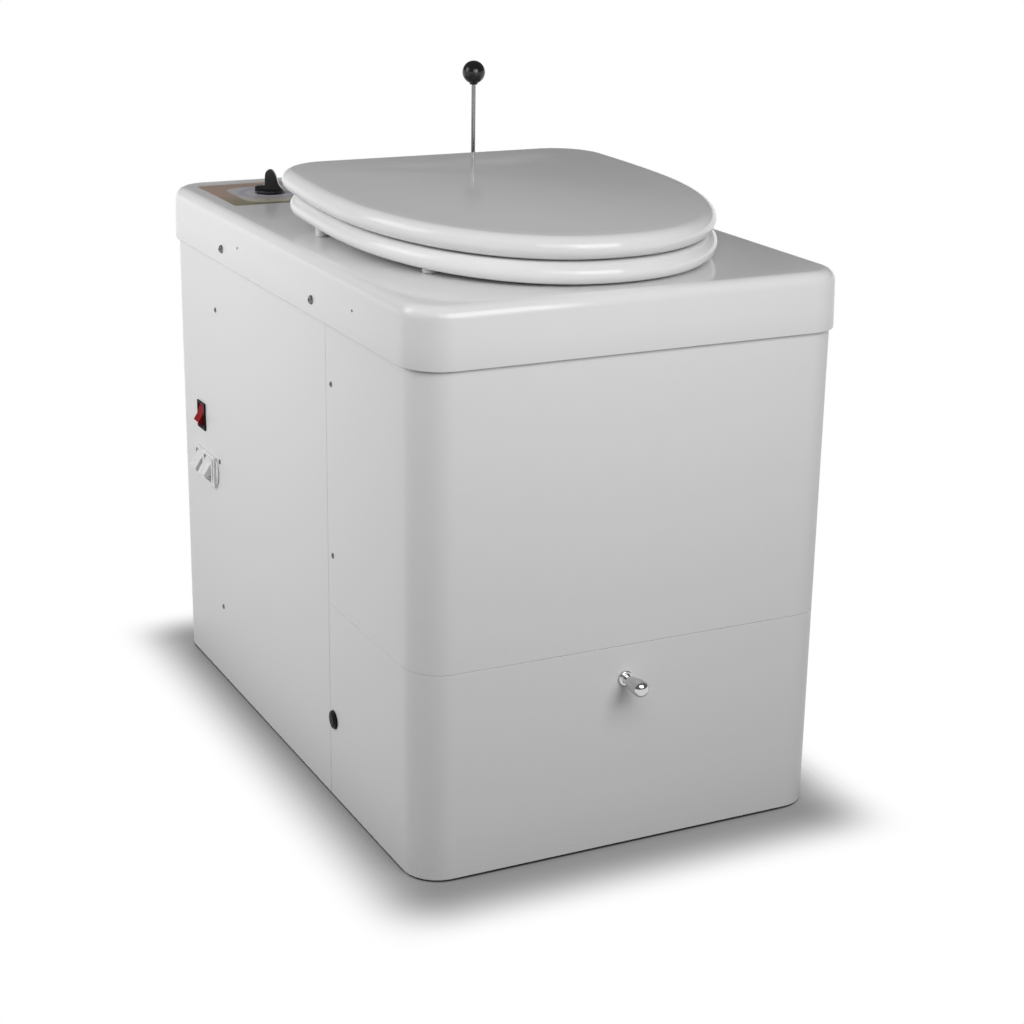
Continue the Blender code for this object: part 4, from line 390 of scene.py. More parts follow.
def dressed(name, mesh, slot, body, angle, replaces=(), look=None):
    """An object for a mesh, with its slot and that slot's finish or a look of its own, that rides on its
    body and stands for the CAD nodes."""
    made = bpy.data.objects.new(name, mesh)
    bpy.context.scene.collection.objects.link(made)
    if mesh.materials:
        mesh.materials.clear()
    mesh.materials.append(MATERIALS[look or slot])
    mesh.shade_smooth()
    mesh.set_sharp_from_angle(angle=math.radians(angle))
    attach(made, body)
    if replaces:
        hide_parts(*replaces)
    return made


def grid_faces(rows, columns, ring):
    """Quads of a grid of points whose rows are closed loops, with its last row joined to its first in a
    ring."""
    index = np.arange(rows * columns).reshape(rows, columns)
    if ring:
        index = np.vstack([index, index[:1]])
    index = np.hstack([index, index[:, :1]])
    quads = np.stack([index[:-1, :-1], index[:-1, 1:], index[1:, 1:], index[1:, :-1]], axis=-1)
    return quads.reshape(-1, 4).tolist()


def shell(grid, ring=False, capped=True):
    """Vertices and faces of a grid of rows of closed loops. A ring joins its last row to its first, and
    otherwise each end is closed by one face."""
    rows, columns = grid.shape[:2]
    faces = grid_faces(rows, columns, ring)
    if capped and not ring:
        faces.append(list(range(columns)))
        faces.append(list(range((rows - 1) * columns, rows * columns)))
    return grid.reshape(-1, 3).tolist(), faces


def together(*parts):
    """Several (vertices, faces) as one."""
    verts, faces = [], []
    for part_verts, part_faces in parts:
        start = len(verts)
        verts += part_verts
        faces += [[start + i for i in face] for face in part_faces]
    return verts, faces


def path_through(knots, arc_steps=18, run_steps=10):
    """Samples a plan line given by knots of (centre x, centre y, angle in degrees, radius). Between two
    knots all four run evenly: one centre with two angles is an arc, and two centres with one angle a
    straight run."""
    knots = np.array(knots, float)
    turns = np.abs(np.diff(knots[:, 2])) > 1e-6
    stops = [k + np.arange(n) / n for k, n in enumerate(np.where(turns, arc_steps, run_steps))]
    at = np.concatenate([*stops, [len(knots) - 1]])
    return np.stack([np.interp(at, np.arange(len(knots)), knots[:, c]) for c in range(4)], axis=1)


def carried(path, profile):
    """A profile of (inset, height) carried along a plan line: each point is the line's centre plus
    (radius - inset) times the outward direction at its angle."""
    path, profile = np.asarray(path), np.asarray(profile, float)
    angle = np.radians(path[:, 2])
    out = np.stack([np.cos(angle), np.sin(angle)], axis=1)
    reach = path[None, :, 3] - profile[:, None, 0]
    flat = path[None, :, :2] + reach[:, :, None] * out[None]
    height = np.broadcast_to(profile[:, None, 1], reach.shape)
    return np.dstack([flat, height])


def case_plan(grow):
    """The casing's closed plan line, grown outwards all round."""
    half, front, rear = HALF_WIDTH + grow, FRONT_Y - grow, REAR_Y + grow
    f, r = FRONT_RADIUS + grow, REAR_RADIUS + grow
    knots = [(-half + f, front + f, 180, f), (-half + f, front + f, 270, f), (half - f, front + f, 270, f),
             (half - f, front + f, 360, f), (half - r, rear - r, 360, r), (half - r, rear - r, 450, r),
             (-half + r, rear - r, 450, r), (-half + r, rear - r, 540, r), (-half + f, front + f, 540, f)]
    return path_through(knots)[:-1]


def turned_grid(profile, centre, axis="Z", steps=48):
    """A profile of (radius, place along the axis) turned about the axis: (r cos t, r sin t, a) for t from 0
    to a full turn, put on to the axis's own directions."""
    profile = np.asarray(profile, float)
    t = np.linspace(0, math.tau, steps, endpoint=False)
    u = profile[:, :1] * np.cos(t)
    v = profile[:, :1] * np.sin(t)
    a = np.broadcast_to(profile[:, 1:], u.shape)
    order = {"X": (a, u, v), "Y": (u, a, v), "Z": (u, v, a)}[axis]
    return np.dstack(order) + np.array(centre)


def turned(name, profile, centre, slot, body="root", axis="Z", steps=48, angle=SMOOTH, replaces=(),
           look=None):
    """A turned piece. A profile that starts and ends on the axis is closed by its poles."""
    verts, faces = shell(turned_grid(profile, centre, axis, steps))
    return piece_from(name, verts, faces, slot, body, angle, replaces, look)


def bow(centre, radii, start, end, steps):
    """Points on an ellipse's arc, from one angle to another in degrees."""
    t = np.radians(np.linspace(start, end, steps + 1))
    return np.stack([centre[0] + radii[0] * np.cos(t), centre[1] + radii[1] * np.sin(t)], axis=1)


def prism(outline, low, high, axis="Z"):
    """Vertices and faces of a flat outline carried straight from low to high along an axis."""
    outline = np.asarray(outline, float)
    order = {"X": (2, 0, 1), "Y": (0, 2, 1), "Z": (0, 1, 2)}[axis]
    levels = [np.column_stack([outline, np.full(len(outline), at)]) for at in (low, high)]
    return shell(np.stack(levels)[:, :, order])


def block(low, high):
    """Vertices and faces of a box between two corners."""
    outline = [(low[0], low[1]), (high[0], low[1]), (high[0], high[1]), (low[0], high[1])]
    return prism(outline, low[2], high[2])


def carve(piece, solid, operation="DIFFERENCE"):
    """Cuts or joins a closed solid, given as vertices and faces, with an exact Boolean that is applied."""
    mesh = bpy.data.meshes.new("cutter")
    mesh.from_pydata(solid[0], [], solid[1])
    tidy(mesh)
    cutter = bpy.data.objects.new("cutter", mesh)
    bpy.context.scene.collection.objects.link(cutter)
    modifier = piece.modifiers.new("cut", "BOOLEAN")
    modifier.operation = operation
    modifier.solver = "EXACT"
    modifier.object = cutter
    bpy.context.view_layer.update()
    made = bpy.data.meshes.new_from_object(piece.evaluated_get(bpy.context.evaluated_depsgraph_get()))
    piece.modifiers.clear()
    piece.data = made
    bpy.data.objects.remove(cutter)


def softened(piece, width, segments=2, angle=EDGE_ANGLE):
    """Rounds the piece's sharp edges with a bevel."""
    piece.data.shade_smooth()
    piece.data.set_sharp_from_angle(angle=math.radians(angle))
    bevel = piece.modifiers.new("edges", "BEVEL")
    bevel.width = width
    bevel.segments = segments
    bevel.limit_method = "ANGLE"
    bevel.angle_limit = math.radians(angle)
    bevel.harden_normals = True
    bevel.use_clamp_overlap = True


def refined(node, width=PART_EDGE, segments=2, spread=None, look=None):
    """A CAD node's own solid as a new piece with rounded edges: its triangles are merged into flat faces
    first, and it stands for the node on the same body. A spread gives the places along Y that the solid's
    own places move to, and those between follow evenly."""
    mesh = NODES[node].data.copy()
    if spread:
        points = points_of(mesh)
        points[:, 1] = np.interp(points[:, 1], *spread)
        mesh.vertices.foreach_set("co", points.ravel())
    tidy(mesh, flat=True)
    made = dressed(node + "_finished", mesh, SLOT_OF[node], NODES[node]["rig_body"], SMOOTH, (node,), look)
    softened(made, width, segments, SMOOTH)


# Casing

def sheet_section(low, high):
    """Section of an upright sheet: up its outer face and down its inner one."""
    up = np.linspace(low, high, WALL_ROWS)
    outer = np.column_stack([np.zeros(WALL_ROWS), up])
    inner = np.column_stack([np.full(WALL_ROWS, SHEET), up[::-1]])
    return np.vstack([outer, inner])


def open_sheet(name, knots, section, body, node, mirror=1.0):
    """An upright powder-coated sheet carried along an open plan line, with both ends closed."""
    grid = carried(path_through(knots), section).transpose(1, 0, 2) * np.array([mirror, 1, 1])
    return piece_from(name, *shell(grid), "white_powder_coat", body, replaces=(node,))


def front_knots():
    """Plan line round both front corners, from one side seam to the other."""
    f = FRONT_RADIUS
    left, right, front = -HALF_WIDTH + f, HALF_WIDTH - f, FRONT_Y + f
    return [(left, SEAM_Y, 180, f), (left, front, 180, f), (left, front, 270, f), (right, front, 270, f),
            (right, front, 360, f), (right, SEAM_Y, 360, f)]


def make_casing():
    """Front panel, drawer front, side panels and rear panel, as thin sheets with soft edges."""
    section = sheet_section(PANEL_LOW[2], PANEL_HIGH[2])
    front = open_sheet("upper_front_skin", front_knots(), section, "root", "upper_front_panel")
    softened(front, SHEET_EDGE)
    section = sheet_section(DRAWER_LOW[2], PANEL_LOW[2] - SEAM_GAP)
    drawer = open_sheet("drawer_front_skin", front_knots(), section, "drawer", "drawer_front")
    softened(drawer, SHEET_EDGE)
    r = REAR_RADIUS
    left, rear = -HALF_WIDTH + r, REAR_Y - r
    knots = [(left, SEAM_Y + SEAM_GAP, 180, r), (left, rear, 180, r), (left, rear, 90, r),
             (SIDE_HIGH[0], rear, 90, r)]
    section = sheet_section(SIDE_LOW[2], SIDE_HIGH[2])
    for side, mirror in (("left", 1.0), ("right", -1.0)):
        panel = open_sheet(f"{side}_side_skin", knots, section, "root", f"{side}_side_panel", mirror)
        if side == "left":
            for switch in ("power_switch_body", "breaker_block"):
                low, high = span(switch)
                low = low + SWITCH_LEDGE * np.array([-1, 1, 1])
                high = np.array([low[0] + SWITCH_LEDGE + SWITCH_CUT_DEPTH, *(high[1:] - SWITCH_LEDGE)])
                carve(panel, block(low, high))
        softened(panel, SHEET_EDGE)
    refined("rear_panel", SHEET_EDGE)


def oval_like(loop, half_width, half_depth):
    """The oval round the bowl's centre, with a point in the direction of each point of a loop."""
    centre = np.array([SEAT_X, from_front(BOWL_SETBACK)])
    away = (loop[:, :2] - centre) / np.array([half_width, half_depth])
    away /= np.linalg.norm(away, axis=1, keepdims=True)
    return centre + away * np.array([half_width, half_depth])


def between(first, last, shares):
    """Loops between two loops, at each share of the way."""
    shares = np.asarray(shares)[:, None, None]
    return first[None] * (1 - shares) + last[None] * shares


def timer_hole(low, high):
    """The hole for the timer's bush, round and straight between two heights."""
    return prism(bow(TIMER, (TIMER_BUSH, TIMER_BUSH), 0, 360, 32)[:-1], low, high)


def make_cover():
    """Moulded cover: a drafted skirt with a small lip, a round top edge, and a flat top that runs in to the
    bowl's oval opening. Profile rows go up the outside, across the top, down the opening and back under."""
    plan = case_plan(COVER_OVERHANG)
    top, bottom, lip = COVER_TOP, COVER_LOW[2], COVER_LIP
    shoulder, hollow = top - COVER_EDGE, COVER_EDGE - COVER_WALL
    outer = np.vstack([bow((lip, bottom + lip), (lip, lip), 270, 180, 4),
                       [(COVER_DRAFT / 2, (bottom + lip + shoulder) / 2)],
                       bow((COVER_DRAFT + COVER_EDGE, shoulder), (COVER_EDGE, COVER_EDGE), 180, 90, 14)])
    inner = np.vstack([bow((COVER_EDGE, shoulder), (hollow, hollow), 90, 180, 8),
                       [(COVER_WALL, bottom + lip)],
                       bow((COVER_WALL - lip, bottom + lip), (lip, lip), 0, -90, 3)])
    outside, inside = carried(plan, outer), carried(plan, inner)
    edge = outside[-1]
    rim = oval_like(edge, APERTURE[0] + APERTURE_EDGE, APERTURE[1] + APERTURE_EDGE)
    rim = np.column_stack([rim, np.full(len(rim), top)])
    across = between(edge, rim, np.linspace(0, 1, 9)[1:-1])
    turn = bow((APERTURE_EDGE, -APERTURE_EDGE), (APERTURE_EDGE, APERTURE_EDGE), 90, 180, 5)
    turn = np.vstack([turn, [(0, -COVER_WALL)]])
    hole = np.stack([np.column_stack([oval_like(edge, APERTURE[0] + a, APERTURE[1] + a),
                                      np.full(len(edge), top + z)]) for a, z in turn])
    under = between(hole[-1], inside[0], np.linspace(0, 1, 5)[1:-1])
    grid = np.concatenate([outside, across, hole, under, inside])
    cover = piece_from("cover_moulding", *shell(grid, ring=True), "gloss_white_moulding",
                       replaces=("top_cover",))
    low, high = span("control_label")
    margin = np.array([CUT_MARGIN, CUT_MARGIN, 0])
    below = np.array([low[0], low[1], top - LABEL_RECESS]) - margin
    carve(cover, block(below, np.array([high[0], high[1], top + COVER_WALL]) + margin))
    low, high = span("lever_slot_trim")
    inset = SLOT_TRIM_LEDGE
    radius = (high[1] - low[1]) / 2 - inset
    y = (low[1] + high[1]) / 2
    slot = np.vstack([bow((high[0] - inset - radius, y), (radius, radius), -90, 90, 12),
                      bow((low[0] + inset + radius, y), (radius, radius), 90, 270, 12)])
    carve(cover, prism(slot, top - COVER_WALL * 2, top + COVER_WALL))
    carve(cover, timer_hole(top - COVER_WALL * 2, top + COVER_WALL))
    cover.data.shade_smooth()
    cover.data.set_sharp_from_angle(angle=math.radians(SMOOTH))


# Seat and lid

def lid_line(forward, round_rear, front_steps=72, side_steps=14, corner_steps=18, rear_steps=12):
    """Closed plan of the seat and lid: a superellipse in front, sides that draw in with the square of their
    distance behind the widest line, round rear corners and a straight rear edge. Returns points and
    normals."""
    widest, rear = from_front(LID_WIDEST) - forward, from_front(LID_REAR)
    start = rear - round_rear
    a = np.linspace(math.pi / 2, 0, front_steps)
    x = LID_HALF_WIDTH * np.cos(a).clip(0) ** (2 / LID_POWER)
    y = widest - LID_FRONT_DEPTH * np.sin(a) ** (2 / LID_POWER)
    front = np.stack([x, y], axis=1)
    y = np.linspace(widest, start, side_steps + 1)[1:]
    share = (y - widest) / (rear - widest)
    side = np.stack([LID_HALF_WIDTH + (LID_REAR_HALF_WIDTH - LID_HALF_WIDTH) * share ** 2, y], axis=1)
    last = side[-1, 0]
    corner = bow((last - round_rear, start), (round_rear, round_rear), 0, 90, corner_steps)[1:]
    back = np.linspace(corner[-1, 0], 0, rear_steps + 1)[1:]
    back = np.stack([back, np.full(rear_steps, rear)], axis=1)
    half = np.vstack([front, side, corner, back])
    line = np.vstack([half, half[-2:0:-1] * np.array([-1, 1])])
    line = line + np.array([SEAT_X, 0])
    along = np.roll(line, -1, axis=0) - np.roll(line, 1, axis=0)
    along /= np.linalg.norm(along, axis=1, keepdims=True)
    return line, np.stack([along[:, 1], -along[:, 0]], axis=1)


def lid_loops(rows, forward, round_rear):
    """Loops of the lid's plan for rows of (inset, height above the plate's underside at the front face)."""
    line, normal = lid_line(forward, round_rear)
    rows = np.asarray(rows, float)
    flat = line[None] - rows[:, None, :1] * normal[None]
    height = rows[:, None, 1] + TILT * (flat[:, :, 1] - FRONT_Y)
    return np.dstack([flat, height])


def rim_rows(bottom, thickness, inset, steps=20):
    """Rows round a half-oval rim, from the underside up to the top."""
    return bow((inset + RIM_DEPTH, bottom + thickness / 2), (RIM_DEPTH, thickness / 2), 270, 90, steps)


def inward(loop, centre, shares, rise):
    """Rows that shrink a loop towards a centre, raised by rise times (1 - share squared) squared."""
    shares = np.asarray(shares)
    centre = np.array([*centre, 0])
    flat = (loop - centre)[None] * shares[:, None, None] + centre
    base = TILT * (flat[:, :, 1] - FRONT_Y) + (loop[0, 2] - TILT * (loop[0, 1] - FRONT_Y))
    flat[:, :, 2] = base + rise * (1 - shares[:, None] ** 2) ** 2
    return flat


def make_lid():
    """The lid: a crowned top, a half-oval rim and a shallow hollow underneath."""
    bottom = SEAT_BOTTOM + SEAT_THICKNESS + LID_GAP
    hollow = np.array(LID_HOLLOW) + np.array([RIM_DEPTH, bottom])
    loops = lid_loops(np.vstack([hollow, rim_rows(bottom, LID_THICKNESS, 0)]), 0, LID_REAR_RADIUS)
    centre = (SEAT_X, from_front(LID_WIDEST))
    shares = np.linspace(1, 0, 16)[1:]
    top = inward(loops[-1], centre, shares, LID_CROWN)
    under = inward(loops[0], centre, shares, LID_CROWN)
    grid = np.concatenate([under[::-1], loops, top])
    piece_from("lid_moulding", *shell(grid, capped=False), "gloss_white_moulding", "lid", ROUND_SMOOTH,
               ("seat_lid",))


def make_seat_ring():
    """The seat ring: a half-oval outer rim, a top that dips to a rounded oval opening, and a hollow
    underneath between its two edges."""
    bottom = SEAT_BOTTOM
    outer = lid_loops(rim_rows(bottom, SEAT_THICKNESS, SEAT_INSET), SEAT_FORWARD, SEAT_REAR_RADIUS)
    edge = outer[-1]
    hole = np.array(APERTURE) * SEAT_HOLE_SHARE
    lean = bow((SEAT_HOLE_EDGE, 0.5), (SEAT_HOLE_EDGE, 0.5), 90, 270, 16)
    plate = SEAT_THICKNESS - SEAT_DISH
    rows = []
    for grow, share in lean:
        flat = oval_like(edge, *(hole + grow))
        rows.append(np.column_stack([flat, bottom + plate * share + TILT * (flat[:, 1] - FRONT_Y)]))
    rows = np.stack(rows)
    shares = np.linspace(0, 1, 10)[1:-1]
    top = between(edge, rows[0], shares)
    ease = shares * shares * (3 - 2 * shares)
    level = TILT * (top[:, :, 1] - FRONT_Y) + bottom + SEAT_THICKNESS
    top[:, :, 2] = level - SEAT_DISH * ease[:, None]
    under = between(rows[-1], outer[0], SEAT_HOLLOW_SHARES)
    under[:, :, 2] += np.array(SEAT_HOLLOW_DEPTH_SHARES)[:, None] * SEAT_HOLLOW
    grid = np.concatenate([outer, top, rows, under])
    piece_from("seat_moulding", *shell(grid, ring=True), "gloss_white_moulding", "seat", ROUND_SMOOTH,
               ("seat_ring",))


def make_buffers():
    """Round rubber buffers under the seat, each with a bulged side."""
    for end in ("front", "rear"):
        for side in ("left", "right"):
            node = f"seat_buffer_{end}_{side}"
            low, high = span(node)
            radius, tall = (high[0] - low[0]) / 2, high[2] - low[2]
            bulge = radius * BUFFER_BULGE_SHARE
            side_rows = bow((radius - bulge, tall / 2), (bulge, tall / 2), -90, 90, 8)
            profile = np.vstack([[(0, 0)], side_rows, [(0, tall)]])
            spot = (*middle(node)[:2], low[2])
            turned(f"buffer_{end}_{side}", profile, spot, "clear_rubber", steps=32, replaces=(node,))


# Lever
ROD_CHAMFER_SHARE = 0.25
BALL_NECK = 0.005
BALL_NECK_SHARES = (0.80, 0.86, 0.90)
BALL_NECK_EDGE = 0.0006


def make_lever():
    """The lever's polished rod with chamfered ends, and its glossy ball with a short neck."""
    low, high = span("lever_rod")
    radius = (high[0] - low[0]) / 2
    x, y = middle("lever_rod")[:2]
    chamfer = radius * ROD_CHAMFER_SHARE
    z0, z1 = low[2], high[2]
    profile = [(0, z0), (radius - chamfer, z0), (radius, z0 + chamfer), (radius, z1 - chamfer),
               (radius - chamfer, z1), (0, z1)]
    turned("lever_rod_polished", profile, (x, y, 0), "chrome_plate", "lever", steps=32,
           replaces=("lever_rod",), look="rod_steel")
    low, high = span("lever_ball")
    ball = (high[0] - low[0]) / 2
    centre = high[2] - ball
    start = -math.degrees(math.acos(BALL_NECK / ball))
    rows = bow((0, 0), (ball, ball), start, 90, 28)
    rows[-1, 0] = 0
    foot, waist, head = (BALL_NECK * share for share in BALL_NECK_SHARES)
    under = low[2] - centre
    flare = [(0, under), (foot, under), (waist, under + BALL_NECK_EDGE), (head, rows[0, 1] - BALL_NECK_EDGE)]
    turned("lever_ball_gloss", np.vstack([flare, rows]), (x, y, centre), "black_plastic", "lever", steps=56,
           angle=ROUND_SMOOTH, replaces=("lever_ball",))


# Drawer knob and side plug
KNOB_FLANGE_SHARE = 0.84
KNOB_BULB_SHARE = 0.92
KNOB_NECK_SHARE = 0.50
KNOB_END_SHARE = 0.86
KNOB_FLANGE = 0.003
KNOB_EDGE = 0.0012
KNOB_CORNER = 0.0003
KNOB_FILLET = (0.0012, 0.0016)
KNOB_STEM = 0.002
KNOB_WAIST = 0.002
KNOB_SHORTER = 0.0015
KNOB_SWELL_POWER = 1.3
KNOB_SMOOTH = 30.0
PLUG_STEM_SHARE = 0.67
PLUG_RIM = 0.0012
PLUG_RIM_SHARE = 0.55
PLUG_GROOVE_SHARES = (0.78, 0.52)
PLUG_DOME_SHARES = (0.70, 0.35)


def make_knob():
    """Chrome knob: a flat flange with a rounded edge, a narrow waist and a long bulb with a round end."""
    low, high = span("drawer_knob")
    x, _, z = middle("drawer_knob")
    widest = (high[0] - low[0]) / 2
    flange, bulb, neck = widest * KNOB_FLANGE_SHARE, widest * KNOB_BULB_SHARE, widest * KNOB_NECK_SHARE
    back = FRONT_Y - CUT_MARGIN
    face = back - KNOB_FLANGE
    end = low[1] + KNOB_SHORTER
    body = end + bulb * KNOB_END_SHARE
    start = face - KNOB_WAIST
    edge, (wide, deep) = KNOB_EDGE, KNOB_FILLET
    share = np.linspace(0, 1, 16)
    swell = neck + (bulb - neck) * np.sin(share * math.pi / 2) ** KNOB_SWELL_POWER
    rows = np.vstack([
        [(0, high[1]), (KNOB_STEM, high[1]), (KNOB_STEM, back), (flange - KNOB_CORNER, back)],
        bow((flange - edge, face + edge), (edge, -edge), 0, 90, 5),
        [(neck + wide, face)],
        bow((neck + wide, face - deep), (-wide, deep), 90, 0, 4),
        np.column_stack([swell, start + (body - start) * share]),
        bow((0, body), (bulb, end - body), 0, 90, 20)[1:]])
    rows[-1, 0] = 0
    # The bulb's chrome is darkened, which is a painted dark reflection and not the metal's own tone.
    turned("drawer_knob_chrome", rows, (x, 0, z), "chrome_plate", "drawer", "Y", 56, KNOB_SMOOTH,
           ("drawer_knob",), "knob_chrome_painted_dark_reflection")


def make_plug():
    """Black push-in plug with a domed, rimmed head."""
    low, high = span("side_plug")
    radius = (high[1] - low[1]) / 2
    face, outer = -HALF_WIDTH - CUT_MARGIN, low[0]
    size = np.array([radius, face - outer])
    stem, rim = radius * PLUG_STEM_SHARE, (face - outer) * PLUG_RIM_SHARE
    groove, dome = np.array(PLUG_GROOVE_SHARES) * size, np.array(PLUG_DOME_SHARES) * size
    rows = np.vstack([[(0, high[0]), (stem, high[0]), (stem, face), (radius, face)],
                      bow((radius - PLUG_RIM, face), (PLUG_RIM, -rim), 0, 90, 6),
                      [(groove[0], outer + groove[1])],
                      bow((0, outer + dome[1]), (dome[0], -dome[1]), 0, 90, 8)])
    rows[-1, 0] = 0
    turned("side_plug_head", rows, (0, *middle("side_plug")[1:]), "black_plastic", "drawer", "X", 48,
           EDGE_ANGLE, ("side_plug",), "bezel_black")


# Timer
TIMER_RADIUS = 0.0145
TIMER_SKIRT = 0.0026
TIMER_SKIRT_EDGE = 0.0006
TIMER_CROWN_SHARES = ((0.75, 1.15), (0, 1.4))
TIMER_FIN_SHARES = (
    (-1.10, 0.04), (-1.10, 0.08), (-1.10, 0.25), (-1.07, 0.285), (-0.60, 0.30), (-0.42, 0.31),
    (-0.37, 0.36), (-0.36, 0.50), (-0.35, 0.76), (-0.26, 0.93), (-0.04, 1.0), (0.20, 0.98),
    (0.40, 0.86), (0.53, 0.66), (0.60, 0.46), (0.74, 0.28), (0.98, 0.13), (1.0, 0.04))
TIMER_FIN_HALF = 0.0040
TIMER_FIN_TURN = -24.0
TIMER_EDGE = 0.0006
TIMER_EDGE_ANGLE = 38.0


def make_timer():
    """Pointer knob: a low round skirt, and a fin whose side view runs from a low square tail up a steep
    back, over a round top and down a long flared front."""
    low, high = span("timer_knob")
    edge = TIMER_SKIRT_EDGE
    rows = np.vstack([[(0, 0), (TIMER_RADIUS, 0)],
                      bow((TIMER_RADIUS - edge, TIMER_SKIRT - edge), (edge, edge), 0, 90, 4),
                      np.array(TIMER_CROWN_SHARES) * np.array([TIMER_RADIUS, TIMER_SKIRT])])
    skirt = shell(turned_grid(rows, (*TIMER, low[2]), "Z", 56), capped=False)
    outline = np.array(TIMER_FIN_SHARES) * np.array([TIMER_RADIUS, high[2] - low[2]])
    outline = smoothed(outline, 3) + np.array([0, low[2]])
    points, faces = prism(outline, -TIMER_FIN_HALF, TIMER_FIN_HALF, "Y")
    points = np.array(points)
    turn = math.radians(TIMER_FIN_TURN)
    x = points[:, 0] * math.cos(turn) - points[:, 1] * math.sin(turn) + TIMER[0]
    y = points[:, 0] * math.sin(turn) + points[:, 1] * math.cos(turn) + TIMER[1]
    knob = piece_from("timer_knob_moulding", *skirt, "black_plastic", "timer", SMOOTH, ("timer_knob",))
    carve(knob, (np.column_stack([x, y, points[:, 2]]).tolist(), faces), "UNION")
    softened(knob, TIMER_EDGE, 3, TIMER_EDGE_ANGLE)


def smoothed(points, times):
    """An open outline made smooth by cutting its corners again and again, each to a quarter and three
    quarters of its sides; the two end points stay."""
    for _ in range(times):
        first, last = points[:-1], points[1:]
        cut = np.stack([first * 0.75 + last * 0.25, first * 0.25 + last * 0.75], axis=1).reshape(-1, 2)
        points = np.vstack([points[:1], cut[1:-1], points[-1:]])
    return points


def make_label():
    """The printed film, with round corners and a hole for the timer's bush."""
    low, high = span("control_label")
    r = LABEL_CORNER
    left, right, front, rear = low[0] + r, high[0] - r, low[1] + r, high[1] - r
    corners = ((left, front, 180), (right, front, 270), (right, rear, 0), (left, rear, 90))
    outline = np.vstack([bow((x, y), (r, r), start, start + 90, 8) for x, y, start in corners])
    label = piece_from("label_print", *prism(outline, low[2], high[2]), "label_film",
                       replaces=("control_label",))
    carve(label, timer_hole(low[2] - SHEET, high[2] + SHEET))


def make_numbers():
    """Plain numbers round the dial, clockwise at equal angles, each a thin film that reads from the
    front."""
    top = span("control_label")[1][2]
    films = []
    for count, number in enumerate(DIAL_NUMBERS):
        text = bpy.data.curves.new("number", "FONT")
        text.body = number
        text.size = DIAL_NUMBER_SIZE
        text.extrude = DIAL_NUMBER_DEPTH
        text.align_x, text.align_y = "CENTER", "CENTER"
        text.resolution_u = DIAL_NUMBER_STEPS
        mesh = bpy.data.meshes.new_from_object(bpy.data.objects.new("number", text))
        turn = math.radians(DIAL_NUMBER_START - count * 360 / len(DIAL_NUMBERS))
        away = DIAL_NUMBER_REACH * np.array([math.cos(turn), math.sin(turn)])
        points = points_of(mesh) + [*(TIMER + away), top + DIAL_NUMBER_DEPTH]
        films.append((points.tolist(), [list(face.vertices) for face in mesh.polygons]))
    piece_from("dial_numbers", *together(*films), "label_film", look="dial_ink")


# Fasteners: places as (distance behind the front face, height), sizes as (radius, rise of the head)
SCREW_STEM_SHARE = 0.5
SCREW_DOME = (6, 66)
SCREW_SOCKET_SHARES = ((0.36, 0.92), (0.36 * 0.86, 0.3), (0, 0.2))
PANEL_SCREWS = ((0.5395, 0.428), (0.5400, 0.258), (0.5420, 0.0877), (0.2030, 0.4275), (0.2035, 0.2575))
PANEL_SCREW = (0.0030, 0.0016)
SKIRT_SCREWS = ((0.5020, 0.501), (0.2414, 0.5005))
SKIRT_SCREW = (0.0044, 0.0030)
SKIRT_SCREW_PROUD = 0.0026
SKIRT_PINS = ((0.4520, 0.511), (0.1404, 0.511))
SKIRT_PIN = (0.0014, 0.0008)
REAR_SCREW_HEIGHTS = (0.06, 0.26, 0.45)
REAR_SCREW_INSET = 0.014


def screw_rows(radius, rise):
    """Profile of a button-head screw: a domed head with a round socket."""
    stem = radius * SCREW_STEM_SHARE
    return np.vstack([[(0, -SHEET), (stem, -SHEET), (stem, 0), (radius, 0)],
                      bow((0, 0), (radius, rise), *SCREW_DOME, 8),
                      np.array(SCREW_SOCKET_SHARES) * np.array([radius, rise])])


def screws(name, spots, axis, outward, size, slot="chrome_plate"):
    """A group of like screws on one face, each a closed solid."""
    rows = screw_rows(*size) * np.array([1, outward])
    solids = [shell(turned_grid(rows, spot, axis, 24), capped=False) for spot in spots]
    piece_from(name, *together(*solids), slot, look="screw_steel")


def make_screws():
    """Screws of the side panels, the cover's skirt and the rear panel. On the right the skirt's screws are
    sunk, so that nothing stands outside the cover there."""
    skirt = HALF_WIDTH + COVER_OVERHANG
    for side, sign, proud in (("left", -1, SKIRT_SCREW_PROUD), ("right", 1, 0.0)):
        groups = (("panel_screws", HALF_WIDTH - CUT_MARGIN, PANEL_SCREWS, PANEL_SCREW, "chrome_plate"),
                  ("skirt_screws", skirt + proud - SKIRT_SCREW[1], SKIRT_SCREWS, SKIRT_SCREW,
                   "chrome_plate"),
                  ("skirt_pins", skirt - SKIRT_PIN[1], SKIRT_PINS, SKIRT_PIN, "zinc_sheet"))
        for group, x, places, size, slot in groups:
            spots = [(sign * x, from_front(setback), height) for setback, height in places]
            screws(f"{group}_{side}", spots, "X", sign, size, slot)
    x = HALF_WIDTH - REAR_RADIUS - REAR_SCREW_INSET
    spots = [(sign * x, REAR_Y - CUT_MARGIN, height) for sign in (-1, 1) for height in REAR_SCREW_HEIGHTS]
    screws("rear_screws", spots, "Y", 1, PANEL_SCREW)


